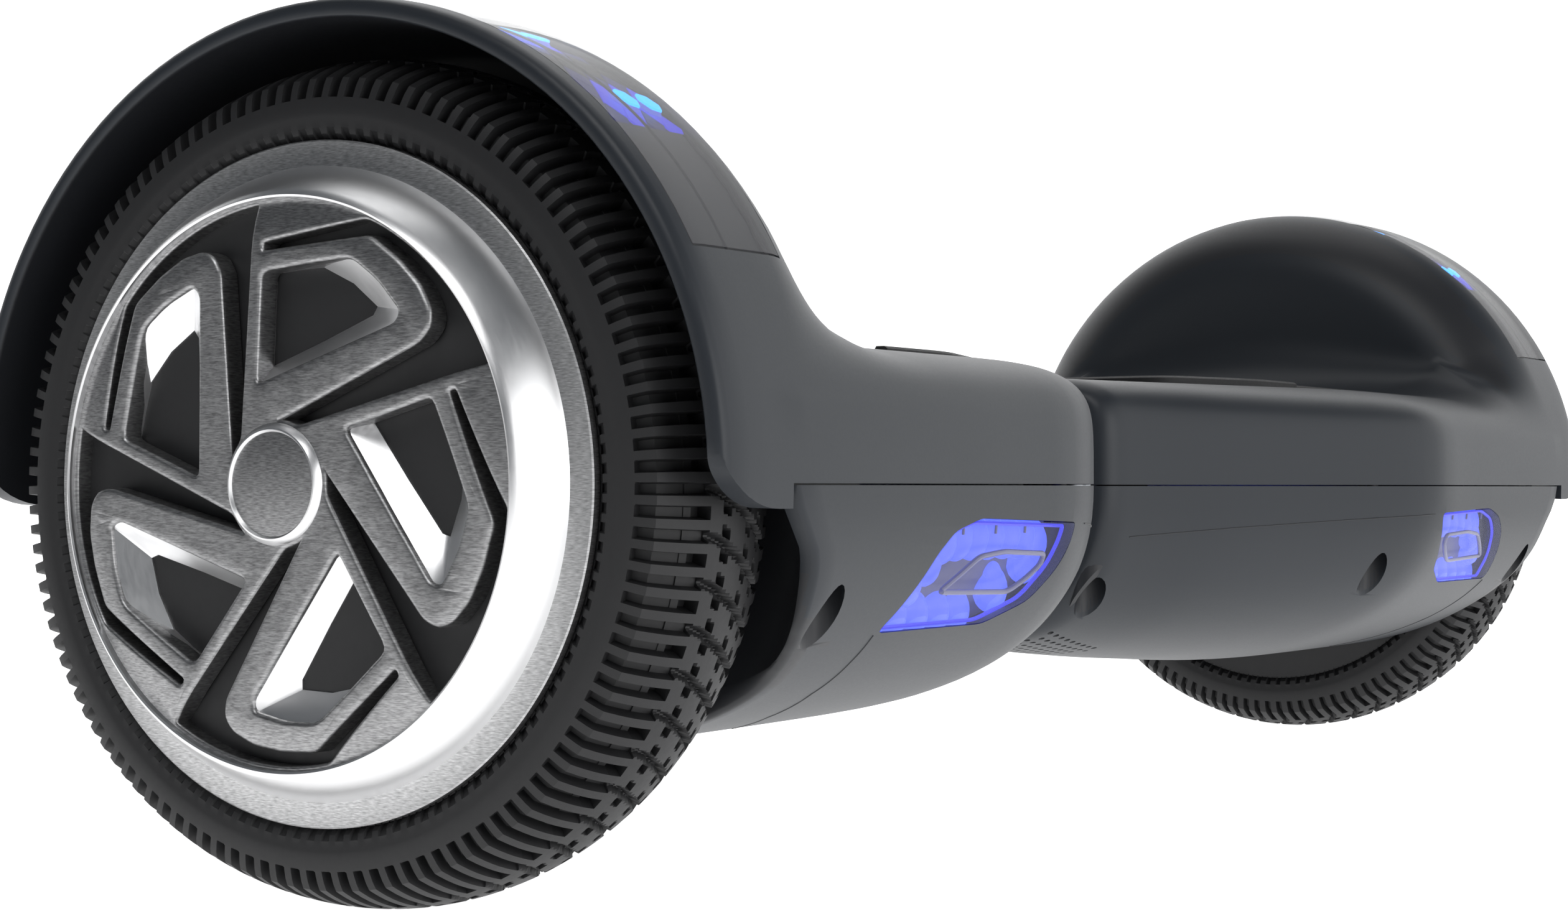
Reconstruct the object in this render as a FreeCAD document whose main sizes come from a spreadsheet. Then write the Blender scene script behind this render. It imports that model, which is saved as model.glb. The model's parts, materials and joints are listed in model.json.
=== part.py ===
import FreeCAD, Part
import math
import os
import re
import Sketcher

# A two-wheel self balancing board. Two mirrored halves twist about a tube on the wheels' axis.
# +X runs along the axle to the right, the front faces -Y, +Z is up, the floor is Z = 0.
# A half is described with X measured outboard from the middle gap, and with Z from the axle.
# A wheel is described about its own centre, with +X pointing outboard.

SIZES = {
    # wheels
    "axle_height": 85, "wheel_offset": 256,
    "tyre_radius": 85, "tyre_half_width": 21, "tyre_tread_half": 12, "tyre_seat_radius": 67.3,
    "rim_inner_radius": 61.5, "rim_half_width": 19, "rim_face_inner": 14, "cover_inner": 15,
    "magnet_inner_radius": 58.5, "stator_radius": 57.8, "stator_half_width": 9,
    "winding_inner_radius": 34, "winding_outer_radius": 52, "winding_overhang": 3,
    "shaft_radius": 8, "journal_radius": 7.5, "shaft_inboard": 80, "shaft_outboard": 22,
    "bearing_gap": 0.02, "bearing_outer_radius": 16, "bearing_width": 9, "bearing_boss_radius": 21,
    # silver wheel cover
    "flange_outer_radius": 67.2, "flange_inner_radius": 62, "flange_face": 21.5,
    "crease_radius": 56, "crease_face": 31, "dome_flat_radius": 44, "dome_face": 32,
    "cover_skin": 2, "cap_radius": 12.2, "cap_face": 33.4,
    "backplate_radius": 55, "backplate_face": 26.5,
    # shells
    "shell_start": 6, "shell_wall": 3, "shell_end": 254, "well_wall": 225.5, "well_wall_skin": 3,
    "deck_top": 30, "deck_wall": 5,
    "well_radius": 91, "well_round": 20, "shaft_opening_radius": 9.5, "tube_opening_radius": 24,
    # fender arch over the wheel
    "fender_face": 277, "fender_crown_radius": 95.5, "fender_edge_radius": 94.5,
    "fender_round": 24, "fender_drop": 4.5,
    # light strip in the fender, angles from the top towards the front
    "strip_inboard": 15, "strip_outboard": 16, "strip_start": -7, "strip_sweep": 70,
    "strip_floor_radius": 92, "strip_board_radius": 92.8, "strip_lens_radius": 93.3,
    # headlight
    "headlight_board_y": 79.5,
    # foot pad
    "pad_inboard": 58, "pad_shoulder": 100, "pad_outboard": 204, "pad_half_near": 36,
    "pad_half_wide": 48, "pad_bottom": 28.4, "pad_top": 31.4, "pad_gap": 0.5, "pad_travel": 1.2,
    "pad_recess": 26.9, "peg_radius": 3.5, "peg_clearance": 0.1,
    # cast frame and axle clamp
    "frame_start": 24, "frame_end": 216, "frame_half_depth": 38, "frame_top": 10,
    "frame_plate": 4, "rib_start": 40, "rib_inner": 30, "rib_thickness": 8, "rib_bottom": 14,
    "block_start": 176, "block_end": 212, "block_half_depth": 26,
    "clamp_start": 178, "clamp_length": 32, "clamp_half_depth": 26, "clamp_depth": 24,
    "bolt_radius": 3, "bolt_head_radius": 5, "bolt_head": 4, "bolt_reach": 12,
    # pivot between the halves
    "tube_radius": 16, "tube_bore": 12, "tube_half_length": 90, "bush_radius": 19,
    "bush_end": 80, "boss_radius": 22, "bush_gap": 0.05, "clip_radius": 18.5, "clip_width": 1.5,
    "collar_width": 10.8, "collar_half_depth": 39, "collar_top": 28, "collar_bottom": 40,
    # screws that hold the lower shell to the upper one
    "screw_radius": 1.8, "screw_head_radius": 3.2, "counterbore_radius": 3.8,
    "pillar_radius": 6, "screw_head_top": 11, "screw_head": 3, "screw_reach": 8,
    # electrics
    "battery_start": 84, "battery_length": 86, "battery_half_depth": 34, "battery_bottom": 44,
    "battery_height": 28, "board_start": 90, "board_length": 78, "board_half_depth": 30,
    "board_drop": 22, "board_skin": 2, "board_part_height": 6, "speaker_offset": 30,
    "speaker_forward": 20, "speaker_drop": 32, "speaker_radius": 10, "speaker_height": 7,
    "sensor_start": 94, "sensor_length": 80, "sensor_half_depth": 29, "sensor_skin": 1.6,
    # rear fittings
    "fitting_offset": 150, "fitting_drop": 12, "bezel_outer_radius": 9.5, "button_radius": 7,
    "button_gap": 0.2, "bezel_back": 86, "bezel_front": 94.6, "button_front": 94, "button_skirt": 3,
    "socket_bore": 6, "socket_back": 72, "socket_floor": 76, "socket_mouth": 86,
    "socket_mouth_radius": 7, "flap_radius": 8, "flap_back": 94.8, "flap_front": 96.6,
    "flap_hinge_rise": 10.6, "flap_hinge_out": 96.2, "knuckle_radius": 1.3, "knuckle_half": 3,
    "flap_pin_radius": 0.7, "lug_inner": 3.5, "lug_width": 1.5, "lug_height": 4.6,
}

# Half depth of the body along the waist, as (distance from the middle, half depth, belly depth).
WAIST = [(6, 42, 43), (14, 44.5, 45), (30, 51.5, 47.5), (43, 58, 49), (66, 69, 51), (85, 78, 52.5),
         (104, 87, 53.7), (124, 94.5, 55), (254, 95, 56)]
UPPER_POWER = 5.2
LOWER_POWER = 2.3
# Headlight outline seen from the front, as (distance from the middle, height from the axle).
HEADLIGHT = [(130, -8.2), (176, -7), (187, -9.5), (193, -14), (198, -21.5), (203, -30), (156, -30),
             (141, -25.5), (134, -18), (131, -12)]
# Outboard edge of the lower shell around the wheel, as (distance from the middle, height from the axle).
LOWER_EDGE = [(254, 0), (249.3, -5.5), (242.5, -12.9), (238.6, -22.8), (234.4, -31.4), (226.7, -39.7),
              (224.5, -46), (224.5, -60), (262, -60), (262, 0)]
# Screws through the lower shell, as (distance from the middle, distance from the axle's plane).
SCREW_PLACES = [(12, 33), (108, 80), (229, 87)]
SIDES = ("right", "left")

Vector = FreeCAD.Vector
doc = FreeCAD.newDocument("balance_board")
sheet = doc.addObject("Spreadsheet::Sheet", "Sizes")
pieces = []


def fill_sheet():
    for row, (alias, number) in enumerate(SIZES.items(), start=1):
        sheet.set(f"A{row}", alias)
        sheet.set(f"B{row}", str(number))
        sheet.setAlias(f"B{row}", alias)
    doc.recompute()


def number(expression):
    """The value of a plain number or of an expression in the sheet's aliases."""
    if isinstance(expression, str):
        return float(sheet.evalExpression(expression))
    return float(expression)


def bound(expression):
    """The same expression with each alias addressed through the sheet."""
    return re.sub(r"[a-z_]{4,}", lambda word: "Sizes." + word.group(0), str(expression))


def bind(item, prop, expression):
    item.setExpression(prop, bound(expression))


def place(item, x=0, y=0, z=0, rotation=None):
    """Bind an object's place to the sheet; the rotation, if any, is fixed."""
    if rotation is not None:
        item.Placement = FreeCAD.Placement(Vector(), rotation)
    for axis, expression in (("x", x), ("y", y), ("z", z)):
        bind(item, f"Placement.Base.{axis}", expression)
    return item


ALONG_X = FreeCAD.Rotation(Vector(0, 1, 0), 90)
ALONG_Y = FreeCAD.Rotation(Vector(1, 0, 0), -90)
HALF_TURN = FreeCAD.Rotation(Vector(0, 0, 1), 180)


def box(name, low, lengths):
    item = doc.addObject("Part::Box", name)
    for prop, expression in zip(("Length", "Width", "Height"), lengths):
        bind(item, prop, expression)
    return place(item, *low)


def rod(name, radius, start, length, rotation=None):
    """A cylinder along Z, or along the axis that the rotation gives."""
    item = doc.addObject("Part::Cylinder", name)
    bind(item, "Radius", radius)
    bind(item, "Height", length)
    return place(item, *start, rotation=rotation)


def ring(name, outer, inner, start, length, rotation=None):
    return cut(name, rod(name + "_outer", outer, start, length, rotation),
               rod(name + "_inner", inner, start, length, rotation))


def cut(name, base, *tools):
    tool = tools[0] if len(tools) == 1 else fuse(name + "_tools", *tools)
    item = doc.addObject("Part::Cut", name)
    item.Base = base
    item.Tool = tool
    return item


def fuse(name, *items):
    item = doc.addObject("Part::MultiFuse", name)
    item.Shapes = list(items)
    return item


def common(name, first, second):
    item = doc.addObject("Part::Common", name)
    item.Base = first
    item.Tool = second
    return item


def origin_plane(body, role):
    return next(plane for plane in body.Origin.OriginFeatures if plane.Role == role)


def sketch(body, name, role, outline):
    """A closed outline of straight edges, each corner bound to the sheet."""
    item = body.newObject("Sketcher::SketchObject", name)
    item.AttachmentSupport = [(origin_plane(body, role), "")]
    item.MapMode = "FlatFace"
    points = [Vector(number(x), number(y), 0) for x, y in outline]
    count = len(points)
    for index in range(count):
        item.addGeometry(Part.LineSegment(points[index], points[(index + 1) % count]), False)
    for index in range(count):
        item.addConstraint(Sketcher.Constraint("Coincident", index, 2, (index + 1) % count, 1))
    for index, corner in enumerate(outline):
        for kind, expression in zip(("DistanceX", "DistanceY"), corner):
            rule = Sketcher.Constraint(kind, -1, 1, index, 1, number(expression))
            key = item.addConstraint(rule)
            if isinstance(expression, str):
                item.setExpression(f"Constraints[{key}]", bound(expression))
    return item


def revolved(name, outline, sweep=360):
    """A body turned about X; the outline gives (x, radius) corners."""
    body = doc.addObject("PartDesign::Body", name)
    profile = sketch(body, name + "_profile", "XZ_Plane", outline)
    turn = body.newObject("PartDesign::Revolution", name + "_turn")
    turn.Profile = profile
    turn.ReferenceAxis = (profile, ["H_Axis"])
    bind(turn, "Angle", sweep)
    return body


def padded(name, role, outline, length):
    """A body pushed out of one of its own planes."""
    body = doc.addObject("PartDesign::Body", name)
    profile = sketch(body, name + "_profile", role, outline)
    pad = body.newObject("PartDesign::Pad", name + "_pad")
    pad.Profile = profile
    bind(pad, "Length", length)
    return body


def computed(name, shape):
    """A form worked out from the sheet where no feature fits."""
    item = doc.addObject("Part::Feature", name)
    item.Shape = shape
    return item


def finish(item, node):
    item.Label = node
    pieces.append(item)
    return item


def finish_half(item, node, rise=0):
    """Raise a right-hand piece to the axle, and mirror it for the left half."""
    bind(item, "Placement.Base.z", f"axle_height + ({rise})")
    mirrored = doc.addObject("Part::Mirroring", "left_" + node)
    mirrored.Source = item
    mirrored.Normal = Vector(1, 0, 0)
    finish(mirrored, "left_" + node)
    finish(item, "right_" + node)


# ---------------------------------------------------------------- body forms

def waist_at(x):
    """Half depth and belly depth at a distance from the middle, in straight runs."""
    for (x0, depth0, belly0), (x1, depth1, belly1) in zip(WAIST, WAIST[1:]):
        if x <= x1:
            share = (x - x0) / (x1 - x0)
            return depth0 + share * (depth1 - depth0), belly0 + share * (belly1 - belly0)
    return WAIST[-1][1:]


def hump_edge(x, half_depth, height, power, steps=16):
    """A rounded hump across the body, from its front at the seam over to its back."""
    points = []
    for step in range(steps + 1):
        angle = math.pi * step / steps
        along = math.copysign(abs(math.cos(angle)) ** (2 / power), math.cos(angle))
        up = abs(math.sin(angle)) ** (2 / power) if 0 < step < steps else 0
        points.append(Vector(x, half_depth * along, height * up))
    hump = Part.BSplineCurve()
    hump.interpolate(Points=points, Parameters=[step / steps for step in range(steps + 1)])
    return hump.toShape()


def half_section(x, half_depth, height, power):
    """A closed D-shaped wire: a hump over a straight chord in the seam's plane."""
    chord = Part.makeLine(Vector(x, -half_depth, 0), Vector(x, half_depth, 0))
    return Part.Wire([hump_edge(x, half_depth, height, power), chord])


def hull_form(name, upper, inset=0, roof_inset=0, start=None, end=None):
    """Half of the body, above or below the seam, drawn in by a wall thickness."""
    start = number("shell_start") if start is None else start
    end = number("shell_end") if end is None else end
    inside = [x for x, _, _ in WAIST if start < x < end]
    wires = []
    for x in [start] + inside + [end]:
        half_depth, belly = waist_at(x)
        height = number("deck_top") - roof_inset if upper else inset - belly
        power = UPPER_POWER if upper else LOWER_POWER
        wires.append(half_section(x, half_depth - inset, height, power))
    return computed(name, Part.makeLoft(wires, True, True))


def rounded_corner(wall, radius, fillet):
    """Outline corners up a wall and round onto a drum of the given radius."""
    corners = [(wall, 0)]
    for angle in (0, 30, 60, 90):
        across = 1 - math.cos(math.radians(angle))
        below = 1 - math.sin(math.radians(angle))
        corners.append((f"{wall} + {across:.3f} * {fillet}", f"{radius} - {below:.3f} * {fillet}"))
    return corners


def wheel_well(name):
    """The hollow for the tyre, with its inboard edge rounded."""
    outline = rounded_corner("well_wall", "well_radius", "well_round")
    return revolved(name, outline + [(330, "well_radius"), (330, 0)])


def fender_form():
    """The solid arch over the wheel before it is hollowed, cut off below the seam."""
    outline = rounded_corner("well_wall - well_wall_skin", "fender_crown_radius", "fender_round")
    outline += [("fender_face - 3", "fender_crown_radius"), ("fender_face", "fender_edge_radius"),
                ("fender_face", 0)]
    disc = revolved("fender_disc", outline)
    inner_part = box("fender_inner_part", ("well_wall - 4", -100, 0),
                     ("shell_end - well_wall + 4", 200, 100))
    outer_part = box("fender_outer_part", ("shell_end", -100, "-fender_drop"),
                     ("fender_face - shell_end", 200, 105))
    return common("fender", disc, fuse("fender_keep", inner_part, outer_part)), disc


def arc_block(name, low_radius, high_radius, margin=0):
    """A curved bar over the wheel where the fender's light strip lies."""
    body = revolved(name, [(f"-strip_inboard + {margin}", low_radius),
                           (f"strip_outboard - {margin}", low_radius),
                           (f"strip_outboard - {margin}", high_radius),
                           (f"-strip_inboard + {margin}", high_radius)],
                    f"strip_sweep - {2 * margin}")
    lean = FreeCAD.Rotation(Vector(1, 0, 0), number("strip_start") + margin)
    return place(body, x="wheel_offset", rotation=lean)


def screw_places():
    """Where the lower shell is screwed on: three along the front and three along the back."""
    return [(x, side * y) for x, y in SCREW_PLACES for side in (-1, 1)]


def rods_at_screws(name, radius, low, height):
    rods = [rod(f"{name}_{index}", radius, (x, y, low), height)
            for index, (x, y) in enumerate(screw_places())]
    return fuse(name, *rods)


# ---------------------------------------------------------------- shells and lights

def pad_outline(grow):
    """The foot pad's plan, grown by a gap for its recess."""
    near = ("pad_inboard - " + grow, "pad_half_near + " + grow)
    middle = ("pad_shoulder", "pad_half_wide + " + grow)
    far = ("pad_outboard + " + grow, "pad_half_wide + " + grow)
    front = [(x, f"-({y})") for x, y in (near, middle, far)]
    return front + [far, middle, near]


def peg_rods(name, radius, low, height):
    places = [("pad_inboard + 32", 24), ("pad_outboard - 36", 24)]
    rods = []
    for index, (x, y) in enumerate(places):
        rods.append(rod(f"{name}_front_{index}", radius, (x, -y, low), height))
        rods.append(rod(f"{name}_back_{index}", radius, (x, y, low), height))
    return rods


def make_upper_shell():
    outer = hull_form("upper_outer", True)
    inner = hull_form("upper_inner", True, number("shell_wall"), number("deck_wall"),
                      number("shell_start + shell_wall"), number("well_wall - well_wall_skin"))
    arch, disc = fender_form()
    hollow = cut("upper_hollow", fuse("upper_solid", outer, arch), inner)
    pillars = common("upper_pillars", rods_at_screws("upper_rods", "pillar_radius", 0, 40), inner)
    recess = padded("pad_recess_form", "XY_Plane", pad_outline("pad_gap"), 10)
    place(recess, z="pad_recess")
    shell = cut("upper_shell", fuse("upper_with_pillars", hollow, pillars),
                wheel_well("upper_well"),
                rod("upper_shaft_opening", "shaft_opening_radius", (210, 0, 0), 30, ALONG_X),
                rod("upper_tube_opening", "tube_opening_radius", (0, 0, 0), 12, ALONG_X),
                rods_at_screws("upper_pilots", "screw_radius", -1, "screw_reach + 1.5"),
                arc_block("strip_pocket", "strip_floor_radius", 105), recess,
                *peg_rods("peg_hole", "peg_radius + 0.5", 20, 10))
    finish_half(shell, "upper_shell")
    finish_half(common("fender_light_lens", arc_block("strip_lens_bar", "strip_lens_radius", 105),
                       disc), "fender_light_lens")
    finish_half(arc_block("strip_board_bar", "strip_floor_radius", "strip_board_radius", 1),
                "fender_light_board")


def lower_edge_form():
    """What is cleared away below the seam so that the wheel can be reached."""
    form = padded("lower_edge", "XZ_Plane", LOWER_EDGE, 220)
    return place(form, y=110)


def make_lower_shell():
    outer = hull_form("lower_outer", False)
    inner = hull_form("lower_inner", False, number("shell_wall"), 0,
                      number("shell_start + shell_wall"), number("well_wall - well_wall_skin"))
    prism = padded("headlight_prism", "XZ_Plane", HEADLIGHT, 60)
    place(prism, y=-50)
    pillars = common("lower_pillars", rods_at_screws("lower_rods", "pillar_radius", -60, 60), inner)
    hollow = cut("lower_hollow", outer, inner)
    form = cut("lower_form", fuse("lower_with_pillars", hollow, pillars), prism,
               wheel_well("lower_well"), lower_edge_form(),
               rod("lower_shaft_opening", "shaft_opening_radius", (210, 0, 0), 30, ALONG_X),
               rod("lower_tube_opening", "tube_opening_radius", (0, 0, 0), 12, ALONG_X),
               rods_at_screws("lower_pilots", "screw_radius", -30, 31),
               rods_at_screws("counterbores", "counterbore_radius", -70,
                              "70 - screw_head_top"))
    right = cut("right_lower", form, rear_rod("button_opening", "bezel_outer_radius", 60, 45),
                *speaker_holes())
    finish(place(right, z="axle_height"), "right_lower_shell")
    mirrored = doc.addObject("Part::Mirroring", "left_lower_form")
    mirrored.Source = form
    mirrored.Normal = Vector(1, 0, 0)
    left = cut("left_lower", mirrored,
               rear_rod("socket_opening", "bezel_outer_radius", 60, 45, left=True))
    finish(place(left, z="axle_height"), "left_lower_shell")
    lens = cut("headlight_lens", common("headlight_skin", prism, outer), inner)
    finish_half(lens, "headlight_lens")
    board = box("headlight_board_form", (140, "-headlight_board_y", 0), (48, 1.5, 18))
    finish_half(board, "headlight_board", rise=-27)


def rear_rod(name, radius, start, length, left=False):
    """A cylinder along Y through the rear wall, where a fitting sits."""
    x = "-fitting_offset" if left else "fitting_offset"
    return rod(name, radius, (x, start, "-fitting_drop"), length, ALONG_Y)


def speaker_holes():
    """Sound holes in the underside of the right half."""
    rows, columns, pitch = 4, 6, 5
    return [rod(f"sound_hole_{row}_{column}", 1.25, (16 + pitch * column, -37 + pitch * row, -55), 25)
            for row in range(rows) for column in range(columns)]


def make_screws():
    heads = rods_at_screws("screw_heads", "screw_head_radius",
                           "-screw_head_top - screw_head", "screw_head")
    shanks = rods_at_screws("screw_shanks", "screw_radius",
                            "-screw_head_top - 1", "screw_head_top + 1 + screw_reach")
    finish_half(fuse("shell_screws", heads, shanks), "shell_screws")


def make_foot_pad():
    plate = padded("pad_plate", "XY_Plane", pad_outline("0"), "pad_top - pad_bottom")
    place(plate, z="pad_bottom")
    foot = "frame_top + sensor_skin + pad_travel + peg_clearance"
    pegs = peg_rods("peg", "peg_radius", foot, f"pad_bottom + 1 - ({foot})")
    finish_half(fuse("foot_pad", plate, *pegs), "foot_pad")


# ---------------------------------------------------------------- frame and pivot

def seat_rod(name):
    return rod(name, "shaft_radius", (170, 0, 0), 60, ALONG_X)


def bolt_rods(name, radius, low, height):
    return [rod(f"{name}_{x}_{y + 18}", radius, (x, y, low), height)
            for x in (184, 204) for y in (-18, 18)]


def make_frame():
    """The cast skeleton: a top plate on two ribs, the pivot's boss and the axle's block."""
    length = "frame_end - frame_start"
    plate = box("frame_plate_form", ("frame_start", "-frame_half_depth", "frame_top - frame_plate"),
                (length, "2 * frame_half_depth", "frame_plate"))
    rib_sizes = ("frame_end - rib_start", "rib_thickness", "frame_top + rib_bottom")
    front_rib = box("front_rib", ("rib_start", "-rib_inner - rib_thickness", "-rib_bottom"),
                    rib_sizes)
    back_rib = box("back_rib", ("rib_start", "rib_inner", "-rib_bottom"), rib_sizes)
    boss = rod("pivot_boss", "boss_radius", ("frame_start", 0, 0), "bush_end - frame_start", ALONG_X)
    block = box("axle_block", ("block_start", "-block_half_depth", 0),
                ("block_end - block_start", "2 * block_half_depth", "frame_top"))
    frame = cut("frame", fuse("frame_solid", plate, front_rib, back_rib, boss, block),
                rod("bush_seat", "bush_radius", (0, 0, 0), "bush_end + 10", ALONG_X),
                seat_rod("frame_shaft_seat"), *bolt_rods("frame_bolt_hole", "bolt_radius", -1, 13))
    finish_half(frame, "frame")
    clamp = box("clamp_block", ("clamp_start", "-clamp_half_depth", "-clamp_depth"),
                ("clamp_length", "2 * clamp_half_depth", "clamp_depth"))
    finish_half(cut("axle_clamp", clamp, seat_rod("clamp_shaft_seat"),
                    *bolt_rods("clamp_bolt_hole", "bolt_radius", "-clamp_depth - 1",
                               "clamp_depth + 2")), "axle_clamp")
    heads = bolt_rods("bolt_head_form", "bolt_head_radius", "-clamp_depth - bolt_head", "bolt_head")
    shanks = bolt_rods("bolt_shank", "bolt_radius", "-clamp_depth - 1",
                       "clamp_depth + 1 + bolt_reach")
    finish_half(fuse("clamp_bolts", *heads, *shanks), "clamp_bolts")


def make_pivot():
    tube = ring("pivot_tube_form", "tube_radius", "tube_bore", ("-tube_half_length", 0, 0),
                "2 * tube_half_length", ALONG_X)
    finish(place(tube, z="axle_height"), "pivot_tube")
    length = "bush_end - frame_start"
    bush = ring("right_bush", "bush_radius", "tube_radius + bush_gap", ("frame_start", 0, 0), length,
                ALONG_X)
    finish(place(bush, z="axle_height"), "right_pivot_bush")
    sleeve = ring("left_sleeve", "bush_radius", "tube_radius", ("-bush_end", 0, 0), length, ALONG_X)
    finish(place(sleeve, z="axle_height"), "left_pivot_sleeve")
    clip = ring("clip", "clip_radius", "tube_radius", ("bush_end + 1", 0, 0), "clip_width", ALONG_X)
    finish(place(clip, z="axle_height"), "pivot_circlip")
    start, depth = -number("shell_start"), number("collar_half_depth")
    outline = Part.Wire([hump_edge(start, depth, number("collar_top"), UPPER_POWER),
                         hump_edge(start, depth, -number("collar_bottom"), LOWER_POWER)])
    width = Vector(number("collar_width"), 0, 0)
    form = computed("collar_form", Part.Face(outline).extrude(width))
    collar = cut("collar", form, rod("collar_bore", "tube_radius", (-20, 0, 0), 40, ALONG_X))
    finish(place(collar, z="axle_height"), "centre_collar")


# ---------------------------------------------------------------- electrics and rear fittings

def make_electrics():
    battery = box("battery", ("-battery_start - battery_length", "-battery_half_depth",
                              "axle_height - battery_bottom"),
                  ("battery_length", "2 * battery_half_depth", "battery_height"))
    finish(battery, "battery_pack")
    plate = box("board_plate", ("board_start", "-board_half_depth", "-board_drop"),
                ("board_length", "2 * board_half_depth", "board_skin"))
    sink = box("heat_sink", ("board_start + 10", "-board_half_depth + 6", "board_skin - board_drop"),
               (40, 20, "board_part_height"))
    capacitors = box("capacitors", ("board_start + 58", 4, "board_skin - board_drop"),
                     (14, 20, "board_part_height"))
    finish(place(fuse("main_board_form", plate, sink, capacitors), z="axle_height"), "main_board")
    speaker = rod("speaker_form", "speaker_radius",
                  ("speaker_offset", "-speaker_forward", "axle_height - speaker_drop"),
                  "speaker_height")
    finish(speaker, "speaker")
    sensor = box("sensor_form", ("sensor_start", "-sensor_half_depth", 0),
                 ("sensor_length", "2 * sensor_half_depth", "sensor_skin"))
    finish_half(sensor, "sensor_board", rise="frame_top")


def make_button():
    bezel = cut("bezel_form",
                rear_rod("bezel_body", "bezel_outer_radius", "bezel_back",
                         "bezel_front - bezel_back"),
                rear_rod("bezel_bore", "button_radius + button_gap", 60, 40))
    finish(place(bezel, z="axle_height"), "button_bezel")
    stem = rear_rod("button_stem", "button_radius", "bezel_back - button_skirt",
                    "button_front - bezel_back + button_skirt")
    flange = rear_rod("button_flange", "button_radius + 1.5", "bezel_back - button_skirt - 0.1",
                      "button_skirt")
    finish(place(fuse("button_form", stem, flange), z="axle_height"), "power_button")


def make_socket():
    """The charging inlet, with two lugs and a pin that carry its rubber flap."""
    hinge_z = "-fitting_drop + flap_hinge_rise"
    body = rear_rod("socket_body", "bezel_outer_radius", "socket_back",
                    "bezel_front - socket_back", left=True)
    pin = rod("flap_pin", "flap_pin_radius",
              ("-fitting_offset - lug_inner - lug_width", "flap_hinge_out", hinge_z),
              "2 * (lug_inner + lug_width)", ALONG_X)
    lugs = [box(name, (x, "bezel_front", "-lug_height"), ("lug_width", 3, "lug_height"))
            for name, x in (("near_lug", "-fitting_offset - lug_inner - lug_width"),
                            ("far_lug", "-fitting_offset + lug_inner"))]
    bored = cut("socket_form", body,
                rear_rod("socket_bore_form", "socket_bore", "socket_floor", 30, left=True),
                rear_rod("socket_mouth_form", "socket_mouth_radius", "socket_mouth", 30, left=True))
    finish(place(fuse("socket", bored, pin, *lugs), z="axle_height"), "charge_socket")
    flap = rear_rod("flap_disc", "flap_radius", "flap_back", "flap_front - flap_back", left=True)
    knuckle_start = "-fitting_offset - knuckle_half"
    knuckle = rod("flap_knuckle", "knuckle_radius", (knuckle_start, "flap_hinge_out", hinge_z),
                  "2 * knuckle_half", ALONG_X)
    arm = box("flap_arm", (knuckle_start, "flap_back", "-fitting_drop + flap_radius - 1.5"),
              ("2 * knuckle_half", "flap_front - flap_back - 0.2", 3.6))
    flap_solid = cut("flap", fuse("flap_solid", flap, knuckle, arm),
                     rod("flap_bore", "flap_pin_radius + bush_gap",
                         ("-fitting_offset - 8", "flap_hinge_out", hinge_z), 16, ALONG_X))
    finish(place(flap_solid, z="axle_height"), "charge_cover")


# ---------------------------------------------------------------- wheels

def finish_wheel(item, node, side):
    """Put a wheel piece at its wheel's centre; the left wheel is the right one turned about."""
    if side == "right":
        place(item, x="wheel_offset", z="axle_height")
    else:
        place(item, x="-wheel_offset", z="axle_height", rotation=HALF_TURN)
    finish(item, f"{side}_{node}")


def make_tyre(side):
    half = [("tyre_half_width - 2", "tyre_seat_radius"), ("tyre_half_width - 0.6", "tyre_seat_radius + 3"),
            ("tyre_half_width", "tyre_radius - 12"), ("tyre_half_width - 1", "tyre_radius - 7.5"),
            ("1.4 * tyre_tread_half", "tyre_radius - 4.1"), ("tyre_tread_half", "tyre_radius - 1.9"),
            ("0.5 * tyre_tread_half", "tyre_radius - 0.5")]
    other_half = [(f"-({x})", radius) for x, radius in reversed(half)]
    outline = half + [(0, "tyre_radius")] + other_half
    finish_wheel(revolved(side + "_tyre_form", outline), "tyre", side)


def make_rotor(side):
    """The motor's drum: a rim with the outboard face, magnets inside, and the inboard cover."""
    boss = "rim_half_width - bearing_width - 1"
    rim = [("-cover_inner", "rim_inner_radius"), ("-cover_inner", "tyre_seat_radius"),
           ("rim_half_width", "tyre_seat_radius"), ("rim_half_width", "bearing_outer_radius"),
           (boss, "bearing_outer_radius"), (boss, "bearing_boss_radius"),
           ("rim_face_inner", "bearing_boss_radius"), ("rim_face_inner", "rim_inner_radius")]
    finish_wheel(revolved(side + "_rim", rim), "rotor_rim", side)
    magnets = [("-stator_half_width", "magnet_inner_radius"), ("-stator_half_width", "rim_inner_radius"),
               ("stator_half_width", "rim_inner_radius"), ("stator_half_width", "magnet_inner_radius")]
    finish_wheel(revolved(side + "_magnets", magnets), "magnet_ring", side)
    lip = "-rim_half_width - 2"
    cover = [("-rim_half_width", "tyre_seat_radius"), ("-cover_inner", "tyre_seat_radius"),
             ("-cover_inner", "bearing_boss_radius"), (f"{lip} + bearing_width + 1", "bearing_boss_radius"),
             (f"{lip} + bearing_width + 1", "bearing_outer_radius"), (lip, "bearing_outer_radius"),
             (lip, "bearing_boss_radius"), ("-rim_half_width", "bearing_boss_radius")]
    finish_wheel(revolved(side + "_inner_cover", cover), "motor_cover", side)
    bore = "journal_radius + bearing_gap"
    bearings = []
    for name, start in (("inboard", lip), ("outboard", "rim_half_width - bearing_width")):
        bearings.append(ring(f"{side}_{name}_bearing", "bearing_outer_radius", bore, (start, 0, 0),
                             "bearing_width", ALONG_X))
    finish_wheel(fuse(side + "_bearings", *bearings), "wheel_bearings", side)


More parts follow.
